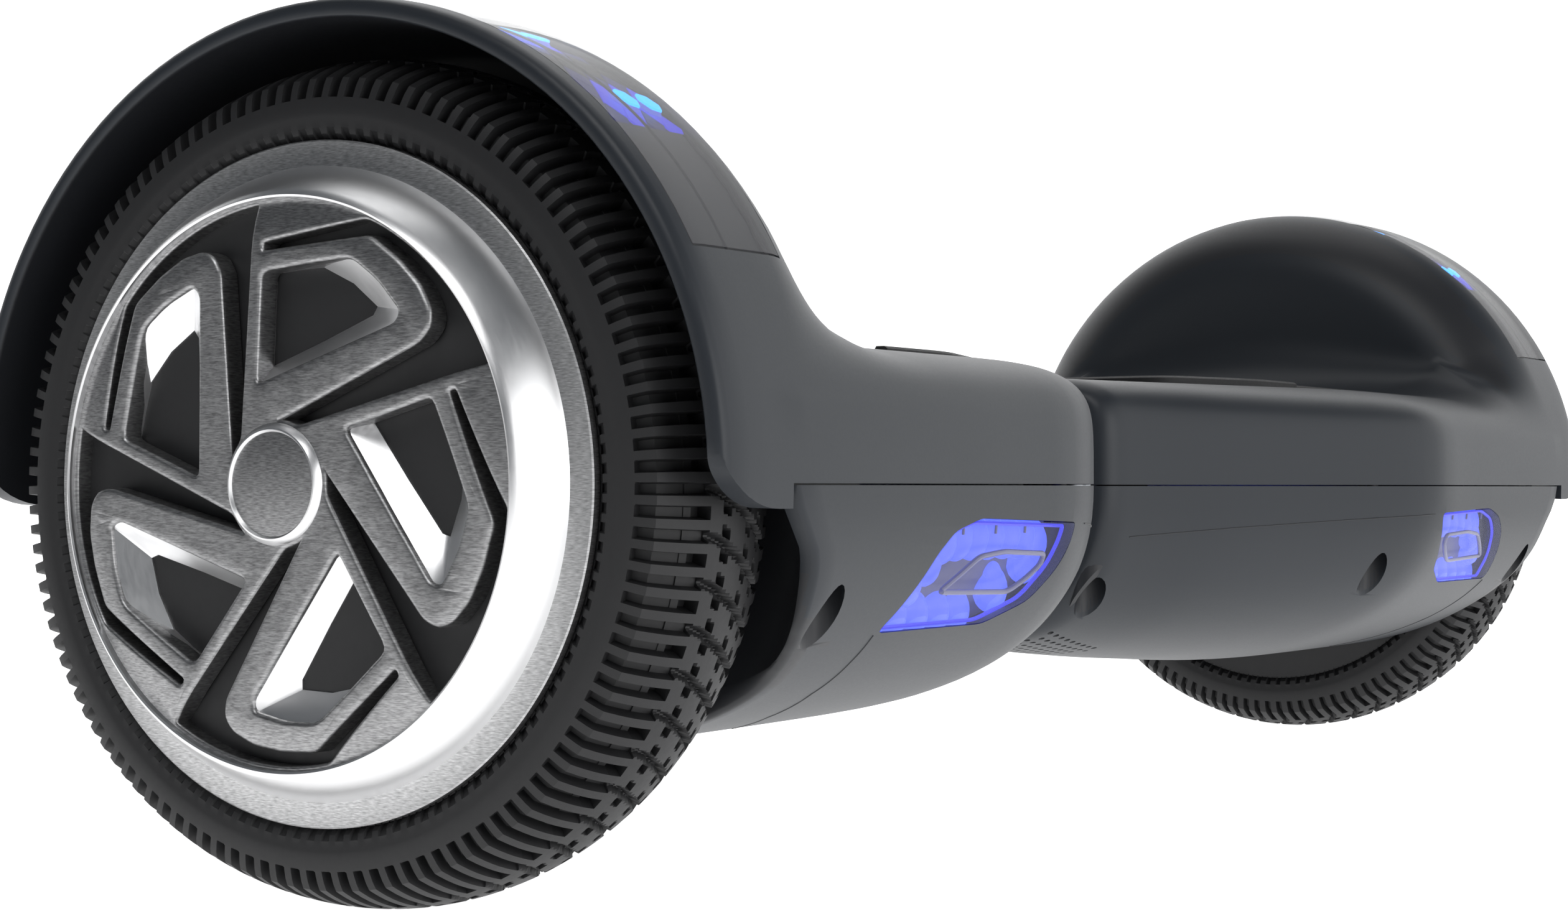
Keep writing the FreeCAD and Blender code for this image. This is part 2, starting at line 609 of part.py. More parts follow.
def make_stator(side):
    """The fixed shaft, the slotted core and the end turns of its windings."""
    shaft = [("-shaft_inboard", 0), ("-shaft_inboard", "shaft_radius"),
             ("-rim_half_width - 3", "shaft_radius"), ("-rim_half_width - 3", "journal_radius"),
             ("shaft_outboard", "journal_radius"), ("shaft_outboard", 0)]
    finish_wheel(revolved(side + "_shaft", shaft), "stator_shaft", side)
    core = [("-stator_half_width", "journal_radius"), ("-stator_half_width", "stator_radius"),
            ("stator_half_width", "stator_radius"), ("stator_half_width", "journal_radius")]
    finish_wheel(revolved(side + "_core", core), "stator_core", side)
    turns = [ring(f"{side}_{name}_turns", "winding_outer_radius", "winding_inner_radius", (start, 0, 0),
                  "winding_overhang", ALONG_X)
             for name, start in (("inboard", "-stator_half_width - winding_overhang"),
                                 ("outboard", "stator_half_width"))]
    finish_wheel(fuse(side + "_windings", *turns), "stator_windings", side)


def cover_windows(body):
    """Five openings between the cover's spokes."""
    window = [(6, 21), (46, 29), (33, 46), (6, 51)]
    profile = sketch(body, body.Name + "_window", "YZ_Plane", window)
    pocket = body.newObject("PartDesign::Pocket", body.Name + "_pocket")
    pocket.Profile = profile
    pocket.Type = "ThroughAll"
    pocket.Reversed = True
    doc.recompute()
    pattern = body.newObject("PartDesign::PolarPattern", body.Name + "_spokes")
    pattern.Originals = [pocket]
    pattern.Axis = (profile, ["N_Axis"])
    pattern.Angle = 360
    pattern.Occurrences = 5
    body.Tip = pattern
    doc.recompute()


def make_wheel_cover(side):
    skin = "cover_skin"
    outline = [("rim_half_width", "flange_outer_radius"), ("flange_face", "flange_outer_radius"),
               ("flange_face", "flange_inner_radius"), ("crease_face", "crease_radius"),
               ("dome_face", "dome_flat_radius"), ("dome_face", "cap_radius"),
               (f"dome_face - {skin}", "cap_radius"), (f"dome_face - {skin}", "dome_flat_radius"),
               (f"crease_face - {skin}", f"crease_radius - {skin}"),
               (f"flange_face - {skin}", f"flange_inner_radius - {skin}"),
               ("rim_half_width", f"flange_inner_radius - {skin}")]
    cover = revolved(side + "_cover", outline)
    solid_volume = checked_volume(cover)
    cover_windows(cover)
    if checked_volume(cover) > 0.95 * solid_volume:
        raise RuntimeError("the windows did not open in " + cover.Name)
    finish_wheel(cover, "wheel_cover", side)
    plate = ring(side + "_backplate", "backplate_radius", 8, ("backplate_face - cover_skin", 0, 0),
                 skin, ALONG_X)
    finish_wheel(plate, "wheel_backplate", side)
    cap = [("backplate_face", 0), ("backplate_face", "cap_radius"), ("cap_face - 1", "cap_radius"),
           ("cap_face", "cap_radius - 1"), ("cap_face", 0)]
    finish_wheel(revolved(side + "_cap", cap), "hub_cap", side)


def checked_volume(item):
    doc.recompute()
    return item.Shape.Volume


# ---------------------------------------------------------------- build, check and write

def check_document():
    for item in doc.Objects:
        if "Invalid" in item.State or "Error" in item.State:
            raise RuntimeError(f"{item.Name} failed: {item.State}")
    for item in pieces:
        if item.Shape.isNull() or not item.Shape.isValid() or item.Shape.Volume <= 0:
            raise RuntimeError(f"{item.Label} has no valid solid")


def write_parts():
    os.makedirs("parts", exist_ok=True)
    for item in pieces:
        item.Shape.exportStep(f"parts/{item.Label}.step")
        print(f"{item.Label}: {len(item.Shape.Solids)} solids, {item.Shape.Volume / 1000:.1f} cm3")


fill_sheet()
make_upper_shell()
make_lower_shell()
make_screws()
make_foot_pad()
make_frame()
make_pivot()
make_electrics()
make_button()
make_socket()
for wheel_side in SIDES:
    make_tyre(wheel_side)
    make_rotor(wheel_side)
    make_stator(wheel_side)
    make_wheel_cover(wheel_side)
doc.recompute()
check_document()
write_parts()
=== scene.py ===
import bpy
import bmesh
import json
import math
from mathutils import Matrix, Vector


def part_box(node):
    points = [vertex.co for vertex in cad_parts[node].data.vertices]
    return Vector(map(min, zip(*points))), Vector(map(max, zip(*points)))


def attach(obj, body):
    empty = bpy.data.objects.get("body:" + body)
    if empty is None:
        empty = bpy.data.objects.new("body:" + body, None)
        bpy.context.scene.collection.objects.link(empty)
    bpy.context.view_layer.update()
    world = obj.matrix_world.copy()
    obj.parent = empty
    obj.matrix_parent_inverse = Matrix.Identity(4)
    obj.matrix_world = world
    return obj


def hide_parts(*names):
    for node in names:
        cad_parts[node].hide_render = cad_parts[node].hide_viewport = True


# The looks of a self balancing board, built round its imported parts.
# A half is worked out with u outboard from the middle gap, y to the back and z up from the axle,
# in millimetres, and then placed on its side. A wheel is worked out about its own centre.

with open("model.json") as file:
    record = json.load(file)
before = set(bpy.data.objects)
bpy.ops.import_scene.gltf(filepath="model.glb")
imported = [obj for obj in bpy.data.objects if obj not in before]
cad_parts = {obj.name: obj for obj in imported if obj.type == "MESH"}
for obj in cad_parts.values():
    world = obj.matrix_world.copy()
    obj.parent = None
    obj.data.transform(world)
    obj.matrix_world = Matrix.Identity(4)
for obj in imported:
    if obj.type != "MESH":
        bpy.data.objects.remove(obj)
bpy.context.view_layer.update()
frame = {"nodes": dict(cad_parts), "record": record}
MM = 0.001

tyre_low, tyre_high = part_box("right_tyre")
AXLE = (tyre_low.z + tyre_high.z) / 2 / MM
WHEEL = (tyre_low.x + tyre_high.x) / 2 / MM


# ------------------------------------------------------------------ materials

def material(name, colour, rough=0.5, metal=0.0, **extra):
    mat = bpy.data.materials.new(name)
    mat.use_nodes = True
    shader = mat.node_tree.nodes["Principled BSDF"]
    shader.inputs["Base Color"].default_value = (*colour, 1)
    shader.inputs["Roughness"].default_value = rough
    shader.inputs["Metallic"].default_value = metal
    for socket, value in extra.items():
        shader.inputs[socket.replace("_", " ")].default_value = value
    return mat


def noise_in(mat, scale, stretch, detail):
    """A noise in the object's own space, with the material's shader and node tree."""
    nodes, links = mat.node_tree.nodes, mat.node_tree.links
    where = nodes.new("ShaderNodeTexCoord")
    mapping = nodes.new("ShaderNodeMapping")
    mapping.inputs["Scale"].default_value = stretch
    noise = nodes.new("ShaderNodeTexNoise")
    noise.inputs["Scale"].default_value = scale
    noise.inputs["Detail"].default_value = detail
    links.new(where.outputs["Object"], mapping.inputs["Vector"])
    links.new(mapping.outputs["Vector"], noise.inputs["Vector"])
    return nodes["Principled BSDF"], nodes, links, noise


def add_grain(mat, scale, strength, stretch=(1, 1, 1), rough=(0.4, 0.5), distance=0.0001):
    """Fine unevenness: a noise drives the bump and the roughness."""
    shader, nodes, links, noise = noise_in(mat, scale, stretch, 4)
    bump = nodes.new("ShaderNodeBump")
    bump.inputs["Strength"].default_value = strength
    bump.inputs["Distance"].default_value = distance
    spread = nodes.new("ShaderNodeMapRange")
    spread.inputs["To Min"].default_value = rough[0]
    spread.inputs["To Max"].default_value = rough[1]
    links.new(noise.outputs["Fac"], bump.inputs["Height"])
    links.new(noise.outputs["Fac"], spread.inputs["Value"])
    links.new(spread.outputs["Result"], shader.inputs["Roughness"])
    links.new(bump.outputs["Normal"], shader.inputs["Normal"])
    return mat


def tint(mat, dark, light, scale, stretch=(1, 1, 1)):
    """Colour that wanders between two tones along a stretched noise."""
    shader, nodes, links, noise = noise_in(mat, scale, stretch, 5)
    ramp = nodes.new("ShaderNodeValToRGB")
    ramp.color_ramp.elements[0].position = 0.3
    ramp.color_ramp.elements[1].position = 0.7
    ramp.color_ramp.elements[0].color = (*dark, 1)
    ramp.color_ramp.elements[1].color = (*light, 1)
    links.new(noise.outputs["Fac"], ramp.inputs["Fac"])
    links.new(ramp.outputs["Color"], shader.inputs["Base Color"])
    return mat


def glow(name, colour, strength, base=(0.01, 0.01, 0.02)):
    return material(name, base, 0.4, Emission_Color=(*colour, 1), Emission_Strength=strength)


def brushed_metal(name, dark, light):
    stretch = (1, 1, 7)
    mat = add_grain(material(name, (0.5, 0.5, 0.5), 0.35, 1.0), 700, 0.25, stretch, (0.3, 0.5), 0.00003)
    return tint(mat, dark, light, 620, stretch)


shell_plastic = add_grain(material("shell_plastic", (0.019, 0.0225, 0.028), 0.42,
                                   Specular_IOR_Level=0.36), 1500, 0.05,
                          rough=(0.38, 0.46))
inner_plastic = add_grain(material("inner_plastic", (0.012, 0.013, 0.016), 0.5), 900, 0.05)
collar_plastic = add_grain(material("collar_plastic", (0.42, 0.44, 0.47), 0.4), 900, 0.05)
tyre_rubber = add_grain(material("tyre_rubber", (0.009, 0.009, 0.01), 0.55), 900, 0.1,
                        rough=(0.5, 0.62), distance=0.00005)
pad_rubber = add_grain(material("pad_rubber", (0.012, 0.012, 0.013), 0.6), 1200, 0.2,
                       rough=(0.55, 0.75))
brushed = brushed_metal("brushed_silver", (0.2, 0.2, 0.202), (0.48, 0.48, 0.485))
ring_silver = brushed_metal("ring_silver", (0.32, 0.32, 0.322), (0.66, 0.66, 0.665))
polished = add_grain(material("polished_silver", (0.92, 0.92, 0.925), 0.3, 1.0), 400, 0.1, (8, 1, 1),
                     (0.26, 0.36), 0.00002)
base_black = add_grain(material("wheel_black", (0.012, 0.012, 0.013), 0.5), 500, 0.06,
                       rough=(0.42, 0.6))
cast_metal = add_grain(material("cast_metal", (0.4, 0.41, 0.42), 0.45, 1.0), 700, 0.25,
                       rough=(0.4, 0.6))
dark_steel = add_grain(material("dark_steel", (0.16, 0.16, 0.17), 0.35, 1.0), 900, 0.1)
turned_steel = add_grain(material("turned_steel", (0.5, 0.5, 0.52), 0.3, 1.0), 500, 0.1, (18, 1, 1))
bronze = add_grain(material("bronze", (0.5, 0.34, 0.16), 0.35, 1.0), 500, 0.1, (18, 1, 1))
copper = add_grain(material("copper_wire", (0.5, 0.2, 0.08), 0.35, 1.0), 400, 0.4, (1, 4, 4))
board_green = tint(material("board_green", (0.02, 0.09, 0.04), 0.45), (0.012, 0.06, 0.03),
                   (0.03, 0.13, 0.06), 160)
battery_wrap = add_grain(material("battery_wrap", (0.03, 0.08, 0.3), 0.3), 60, 0.3)
smoke_lens = add_grain(material("smoke_lens", (0.03, 0.032, 0.04), 0.12, Alpha=0.42), 300, 0.02,
                       rough=(0.1, 0.16))
clear_lens = add_grain(material("clear_lens", (0.12, 0.13, 0.26), 0.12, Alpha=0.2), 300, 0.02,
                       rough=(0.1, 0.16))
led_cyan = glow("led_cyan", (0.0, 0.28, 1.0), 5.5)
# painted halo: a blue glow for the diamonds closest to the fender's diodes
painted_halo_bright = glow("painted_halo_bright", (0.05, 0.04, 1.0), 1.6)
head_glow = glow("head_glow", (0.1, 0.15, 1.0), 1.5)
head_dim = glow("head_dim", (0.1, 0.12, 0.75), 1.1, (0.08, 0.08, 0.1))
head_edge = glow("head_edge", (0.06, 0.06, 1.0), 1.0)
# painted halo: a fainter blue glow for the diamonds a little further from the fender's diodes
painted_halo_faint = glow("painted_halo_faint", (0.03, 0.02, 0.7), 0.28, (0.02, 0.02, 0.03))
black_board = add_grain(material("black_board", (0.02, 0.02, 0.022), 0.4), 600, 0.05)
# painted glow: the grey board and its ticks give off a faint blue light that stands in for the diodes'
# light falling on them
grey_board_painted_glow = add_grain(material("grey_board_painted_glow", (0.12, 0.12, 0.14), 0.45, Emission_Strength=0.12,
                                Emission_Color=(0.25, 0.25, 0.9, 1)), 600, 0.05)
smoke_panel = add_grain(material("smoke_panel", (0.13, 0.13, 0.135), 0.4), 600, 0.05)
diamond_grey = add_grain(material("diamond_grey", (0.06, 0.06, 0.065), 0.4), 600, 0.05)
clear_bead = add_grain(material("clear_bead", (0.2, 0.2, 0.32), 0.15), 600, 0.04, rough=(0.15, 0.3))
silver_plastic = add_grain(material("silver_plastic", (0.45, 0.45, 0.47), 0.35), 900, 0.05)


# ------------------------------------------------------------------ meshes

def placed(name, data):
    """A new object in the scene."""
    obj = bpy.data.objects.new(name, data)
    bpy.context.scene.collection.objects.link(obj)
    return obj


def smooth(obj, angle=32):
    mesh = obj.data
    for polygon in mesh.polygons:
        polygon.use_smooth = True
    mesh.set_sharp_from_angle(angle=math.radians(angle))
    return obj


def solid(name, verts, faces, mat, angle=32):
    """An object in metres from points in millimetres, with its faces turned outward."""
    mesh = bpy.data.meshes.new(name)
    mesh.from_pydata([Vector(point) * MM for point in verts], [], faces)
    form = bmesh.new()
    form.from_mesh(mesh)
    bmesh.ops.remove_doubles(form, verts=form.verts, dist=0.000004)
    bmesh.ops.recalc_face_normals(form, faces=form.faces)
    form.to_mesh(mesh)
    form.free()
    mesh.materials.append(mat)
    return smooth(placed(name, mesh), angle)


def tube_of_loops(name, loops, mat, closed=False, caps=True, angle=32):
    """A skin through rings of points that all have the same count."""
    count = len(loops[0])
    verts = [point for loop in loops for point in loop]
    faces = []
    spans = len(loops) if closed else len(loops) - 1
    for row in range(spans):
        after = (row + 1) % len(loops)
        for index in range(count):
            step = (index + 1) % count
            faces.append((row * count + index, row * count + step,
                          after * count + step, after * count + index))
    if caps and not closed:
        faces.append(tuple(range(count)))
        faces.append(tuple(range((len(loops) - 1) * count, len(loops) * count)))
    return solid(name, verts, faces, mat, angle)


def dress(obj, mat):
    """Give the whole object one material."""
    obj.data.materials.clear()
    obj.data.materials.append(mat)


def modify(obj, kind, **settings):
    """Apply one modifier at once."""
    step = obj.modifiers.new(kind, kind)
    for key, value in settings.items():
        setattr(step, key, value)
    graph = bpy.context.evaluated_depsgraph_get()
    mesh = bpy.data.meshes.new_from_object(obj.evaluated_get(graph))
    obj.modifiers.clear()
    obj.data = mesh
    return obj


def carve(obj, *tools, operation="DIFFERENCE"):
    """Cut the tools out of obj, or keep what they share, and remove them."""
    for tool in tools:
        modify(obj, "BOOLEAN", operation=operation, object=tool, solver="EXACT")
        bpy.data.objects.remove(tool)
    return obj


def copy_of(obj, name):
    twin = obj.copy()
    twin.data = obj.data.copy()
    twin.name = name
    bpy.context.scene.collection.objects.link(twin)
    return twin


def mirrored(obj, name):
    """A copy for the left half."""
    twin = copy_of(obj, name)
    twin.data.transform(Matrix.Diagonal((-1, 1, 1, 1)))
    twin.data.flip_normals()
    return twin


def prism(name, outline, low, high, mat=None, plane="xz"):
    """A straight prism over an outline of (u, z) or (u, y) points."""
    if plane == "xz":
        loops = [[(u, depth, z + AXLE) for u, z in outline] for depth in (low, high)]
    else:
        loops = [[(u, y, height + AXLE) for u, y in outline] for height in (low, high)]
    return tube_of_loops(name, loops, mat or inner_plastic)


def drum(name, profile, mat, steps=96, centre=0, start=0, sweep=360, angle=32):
    """A closed profile of (x, radius) turned about the axle; x is from centre."""
    loops = []
    full = sweep == 360
    for step in range(steps if full else steps + 1):
        turn = math.radians(start + sweep * step / steps)
        loops.append([(centre + x, -radius * math.cos(turn), AXLE + radius * math.sin(turn))
                      for x, radius in profile])
    return tube_of_loops(name, loops, mat, closed=full, angle=angle)


def circle(count):
    """Cosine and sine of even steps round a full turn."""
    turns = [2 * math.pi * step / count for step in range(count)]
    return [(math.cos(turn), math.sin(turn)) for turn in turns]


def rounded(outline, radius, steps=5):
    """The same closed outline with each corner replaced by an arc-like bend."""
    result = []
    count = len(outline)
    for index in range(count):
        corner = Vector(outline[index])
        before = Vector(outline[index - 1]) - corner
        after = Vector(outline[(index + 1) % count]) - corner
        reach = min(radius, before.length * 0.45, after.length * 0.45)
        first, last = corner + before.normalized() * reach, corner + after.normalized() * reach
        for step in range(steps + 1):
            share = step / steps
            result.append(tuple(first * (1 - share) ** 2 + corner * 2 * share * (1 - share)
                                + last * share ** 2))
    return result


# ------------------------------------------------------------------ the body's section

WAIST = [(6, 42, 43), (14, 44.5, 45), (30, 51.5, 47.5), (43, 58, 49), (66, 69, 51), (85, 78, 52.5),
         (104, 87, 53.7), (124, 94.5, 55), (150, 95, 55.6), (254, 95, 56)]
LOWER_EDGE = [(0, 252), (5.5, 249.3), (12.9, 242.5), (22.8, 238.6), (31.4, 234.4), (39.7, 227.5),
              (46, 225.5), (60, 225.5)]
HEADLIGHT = [(130, -8.2), (176, -7), (187, -9.5), (193, -14), (198, -21.5), (203, -30), (156, -30),
             (141, -25.5), (134, -18), (131, -12)]
DECK_TOP, UPPER_POWER, LOWER_POWER = 30, 5.2, 2.3
SHELL_START, WALL, TUBE_HOLE, SHAFT_HOLE = 6, 3, 24, 9.5
FENDER_WALL, FENDER_FACE, CROWN, FENDER_EDGE, FENDER_ROUND = 222.5, 277, 95.5, 94.5, 24
WELL_WALL, WELL_RADIUS, WELL_ROUND, FILLET = 225.5, 91, 20, 24
SEAM = 0.18


def between(table, at, column=1):
    """Read a table whose first column rises, with a smooth run through its rows."""
    if at <= table[0][0]:
        return table[0][column]
    for index in range(len(table) - 1):
        if at <= table[index + 1][0]:
            (x0, y0), (x1, y1) = [(row[0], row[column]) for row in table[index:index + 2]]
            slopes = []
            for place in (index, index + 1):
                low, high = table[max(place - 1, 0)], table[min(place + 1, len(table) - 1)]
                slopes.append((high[column] - low[column]) / (high[0] - low[0]))
            share = (at - x0) / (x1 - x0)
            return ((1 + 2 * share) * (1 - share) ** 2 * y0 + share * (1 - share) ** 2
                    * (x1 - x0) * slopes[0] + share ** 2 * (3 - 2 * share) * y1
                    - share ** 2 * (1 - share) * (x1 - x0) * slopes[1])
    return table[-1][column]


def oval(turn, depth, height, upper):
    """Radius of a squared-off oval; the body is squarer above its seam than below."""
    power = UPPER_POWER if upper else LOWER_POWER
    reach = abs(math.cos(turn) / depth) ** power + abs(math.sin(turn) / height) ** power
    return reach ** (-1 / power)


def section(u, turn, upper, inset=0):
    """Distance from the axle to the body's skin, at an angle up or down from the front."""
    depth = between(WAIST, u) - inset
    height = (DECK_TOP if upper else between(WAIST, u, 2)) - inset
    return oval(turn, depth, height, upper)


def well(u):
    """Radius of the wheel well, with its inboard edge rounded."""
    reach = max(WELL_ROUND - (u - WELL_WALL), 0)
    return WELL_RADIUS - WELL_ROUND + math.sqrt(max(WELL_ROUND ** 2 - reach ** 2, 0))


def columns(margin):
    """Angles over the body in degrees, closest together where its shoulders turn."""
    quarter = [0, 2.5, 5, 7.5]
    quarter += [9 + 0.8 * step for step in range(28)]
    quarter += [32 + 2.9 * step for step in range(20)]
    half = quarter + [90] + [180 - angle for angle in reversed(quarter)]
    return [-margin] + half + [180 + margin]


def end_wall(turn, upper):
    """From the hole for the tube out over the rounded end at the gap."""
    roll = 7
    edge = section(SHELL_START + roll, turn, upper)
    path = [(SHELL_START, TUBE_HOLE)]
    for step in range(6, -1, -1):
        angle = math.radians(90 * step / 6)
        u = SHELL_START + roll * (1 - math.sin(angle))
        sink = roll * 0.6 * (1 - math.cos(angle)) * min(1, edge / 40)
        path.append((u, section(u, turn, upper) - sink))
    return path


def hollow(turn, upper):
    """Back along the inside, from the wheel's wall to the gap."""
    inset = 3.6 if upper else WALL
    path = [(FENDER_WALL, SHAFT_HOLE)]
    for u in (FENDER_WALL, 205, 180, 150, 124, 104, 85, 66, 43, 30, 14, SHELL_START + WALL):
        path.append((u, max(section(u, turn, upper, inset), TUBE_HOLE + 1)))
    return path + [(SHELL_START + WALL, TUBE_HOLE)]


DECK_PLACES = [16, 20, 25, 30, 36, 43, 50, 58, 66, 75, 85, 94, 104, 110, 117, 124, 132, 142, 155, 168,
               178]


def upper_path(turn):
    """Round the upper shell's wall at one angle: end, deck, fender, well and back inside."""
    deck = section(210, turn, True)
    rise = max(CROWN - deck, 0)
    steepest = math.acos(max(1 - rise / (FILLET + FENDER_ROUND), 0))
    foot = FILLET * (1 - math.cos(steepest))
    roll = FENDER_ROUND * (1 - math.cos(steepest))
    sharp = []
    start = FENDER_WALL - FILLET * math.sin(steepest)
    for step in range(13):
        angle = steepest * step / 12
        sharp.append((start + FILLET * math.sin(angle), deck + FILLET * (1 - math.cos(angle))))
    for share in (0.25, 0.5, 0.75):
        sharp.append((FENDER_WALL, deck + foot + share * (rise - foot - roll)))
    end = FENDER_WALL + FENDER_ROUND * math.sin(steepest)
    for step in range(13):
        angle = steepest * (1 - step / 12)
        sharp.append((end - FENDER_ROUND * math.sin(angle),
                      CROWN - FENDER_ROUND * (1 - math.cos(angle))))
    path = end_wall(turn, True)
    path += [(u, section(u, turn, True)) for u in DECK_PLACES]
    weight = min(rise / 40, 1) ** 1.2
    low, high = FENDER_WALL - 38, FENDER_WALL + FENDER_ROUND + 4
    for index, (u, radius) in enumerate(sharp):
        share = index / (len(sharp) - 1)
        soft = deck + rise * share * share * (3 - 2 * share)
        path.append((u * weight + (low + (high - low) * share) * (1 - weight),
                     radius * weight + soft * (1 - weight)))
    path += [(254, CROWN), (262, CROWN), (269, CROWN), (272, CROWN - 0.15), (274.4, CROWN - 0.5),
             (276, FENDER_EDGE + 0.1), (276.8, FENDER_EDGE - 0.7), (FENDER_FACE, FENDER_EDGE - 1.6)]
    path += [(FENDER_FACE, WELL_RADIUS + 0.6), (276.6, WELL_RADIUS + 0.15), (275.8, WELL_RADIUS)]
    return path + well_path(270) + hollow(turn, True)


def well_path(start):
    """The wheel well from an outboard place back to the hole for the shaft."""
    places = [u for u in (268, 254, WELL_WALL + WELL_ROUND) if u < start - 0.5]
    path = [(u, WELL_RADIUS) for u in places]
    for step in range(1, 9):
        angle = math.radians(90 * step / 8)
        u = WELL_WALL + WELL_ROUND * (1 - math.sin(angle))
        if u < start - 0.3:
            path.append((u, well(u)))
        else:
            path.append((start - 0.2, well(start - 0.2)))
    return path + [(WELL_WALL, 40), (WELL_WALL, SHAFT_HOLE)]


def lower_path(turn):
    """The same for the lower shell, which ends in a lip beside the tyre."""
    rim = section(230, turn, False)
    end = between(LOWER_EDGE, rim * math.sin(turn))
    while end > WELL_WALL + 0.6 and rim - well(end) < 1.6:
        end -= 0.3
    floor = well(end) if end > WELL_WALL + 0.5 else rim - 4
    path = end_wall(turn, False)
    path += [(u, section(u, turn, False)) for u in DECK_PLACES]
    path += [(200 + (end - 201.5) * share, section(210, turn, False)) for share in (0.3, 0.6, 0.85)]
    path += [(end - 1.5, rim), (end - 0.5, rim - 0.4), (end, rim - min(1.4, (rim - floor) * 0.7))]
    path += [(end, floor), (end - 0.2, min(floor - 0.1, well(end - 0.2)))]
    for step in range(1, 9):
        u = end + (WELL_WALL - end) * math.sin(math.radians(90 * step / 8))
        path.append((u, min(well(u), floor - 0.1 - 0.2 * step)))
    path += [(WELL_WALL, SHAFT_HOLE)]
    return path + hollow(turn, False)


def body_skin(name, path_at, up, margin):
    """A closed shell swept over the half turn above (up 1) or below (up -1) the axle."""
    loops = []
    for angle in columns(margin):
        turn = math.radians(angle)
        loops.append([(u, -radius * math.cos(turn), AXLE + up * radius * math.sin(turn))
                      for u, radius in path_at(turn)])
    return tube_of_loops(name, loops, shell_plastic, angle=50)


def block(name, low, high, mat=None):
    """A plain box between two corners (u, y, z)."""
    outline = [(low[0], low[2]), (high[0], low[2]), (high[0], high[2]), (low[0], high[2])]
    return prism(name, outline, low[1], high[1], mat)


def arc_bar(name, u_low, u_high, floor, roof, start, sweep, mat, steps=48):
    """A bar that follows the fender round; roof is a height, or None to lie flush in its skin."""
    places = [u_low + (u_high - u_low) * share / 10 for share in range(11)]

    def skin(u):
        if roof is not None:
            return roof
        if u < FENDER_WALL + FENDER_ROUND:
            reach = FENDER_WALL + FENDER_ROUND - u
            return CROWN - FENDER_ROUND + math.sqrt(FENDER_ROUND ** 2 - reach ** 2)
        return CROWN - 0.15 * max(0, (u - 269) / 3)
    profile = [(u, floor) for u in places] + [(u, skin(u)) for u in reversed(places)]
    return drum(name, profile, mat, steps, start=start, sweep=sweep)


def section_depth(u, z):
    """Half depth of the lower shell at a height below the axle."""
    belly = between(WAIST, u, 2)
    return between(WAIST, u) * (1 - (abs(z) / belly) ** LOWER_POWER) ** (1 / LOWER_POWER)


def behind_lens(u, z, sink):
    """A place at a depth under the front of the lower shell, where it runs straight."""
    return u, -(section_depth(180, z) - sink), z + AXLE


def front_slab(name, shallow, deep, mat):
    """A curved slab behind the front of the lower shell, between two depths under its skin."""
    loops = []
    for u in (122, 210):
        front, back = [[behind_lens(u, z, sink) for z in range(-36, 0, 2)] for sink in (shallow, deep)]
        loops.append(front + back[::-1])
    return tube_of_loops(name, loops, mat)


def join(name, objects):
    """Make one object of several; each keeps its own material."""
    form = bmesh.new()
    mats = []
    for obj in objects:
        shift = len(mats)
        mats += list(obj.data.materials)
        start = len(form.faces)
        form.from_mesh(obj.data)
        form.faces.ensure_lookup_table()
        for face in form.faces[start:]:
            face.material_index += shift
        bpy.data.objects.remove(obj)
    mesh = bpy.data.meshes.new(name)
    form.to_mesh(mesh)
    form.free()
    kept = []
    for mat in mats:
        if mat not in kept:
            kept.append(mat)
            mesh.materials.append(mat)
    for polygon in mesh.polygons:
        polygon.material_index = kept.index(mats[polygon.material_index])
    return smooth(placed(name, mesh))


def grown(outline, amount):
    """The outline moved outward all round, for a clockwise or counter-clockwise run of points."""
    area = sum(a[0] * b[1] - b[0] * a[1] for a, b in zip(outline, outline[1:] + outline[:1]))
    side = math.copysign(1, area)
    result = []
    for index, point in enumerate(outline):
        before = Vector(point) - Vector(outline[index - 1])
        after = Vector(outline[(index + 1) % len(outline)]) - Vector(point)
        out = Vector((before.y, -before.x)).normalized() + Vector((after.y, -after.x)).normalized()
        if out.length < 0.05:
            out = Vector((after.y, -after.x))
        result.append(tuple(Vector(point) + out.normalized() * amount * side))
    return result


def ball(u, z, sink, radii, mat, rings=9, spokes=16):
    """A squashed ball behind the headlight's lens, as a closed mesh."""
    x, y, height = behind_lens(u, z, sink)
    loops = []
    for ring in range(1, rings):
        lift = math.pi * ring / rings
        loops.append([(x + radii[0] * math.sin(lift) * out, y + radii[1] * math.cos(lift),
                       height + radii[2] * math.sin(lift) * up) for out, up in circle(spokes)])
    return tube_of_loops("ball", loops, mat, angle=60)


def path_tube(name, points, radius, mat, sides=10, closed=True):
    """A round bead that follows points in millimetres."""
    loops = []
    count = len(points)
    for index in range(count):
        here = Vector(points[index])
        after = Vector(points[(index + 1) % count]) if closed or index < count - 1 else here
        before = Vector(points[index - 1]) if closed or index > 0 else here
        along = (after - before).normalized()
        side = along.cross(Vector((0, 0, 1)))
        if side.length < 0.1:
            side = along.cross(Vector((1, 0, 0)))
        side.normalize()
        up = side.cross(along)
        loops.append([tuple(here + side * radius * cos + up * radius * sin)
                      for cos, sin in circle(sides)])
    return tube_of_loops(name, loops, mat, closed=closed)


# ------------------------------------------------------------------ shells and lights

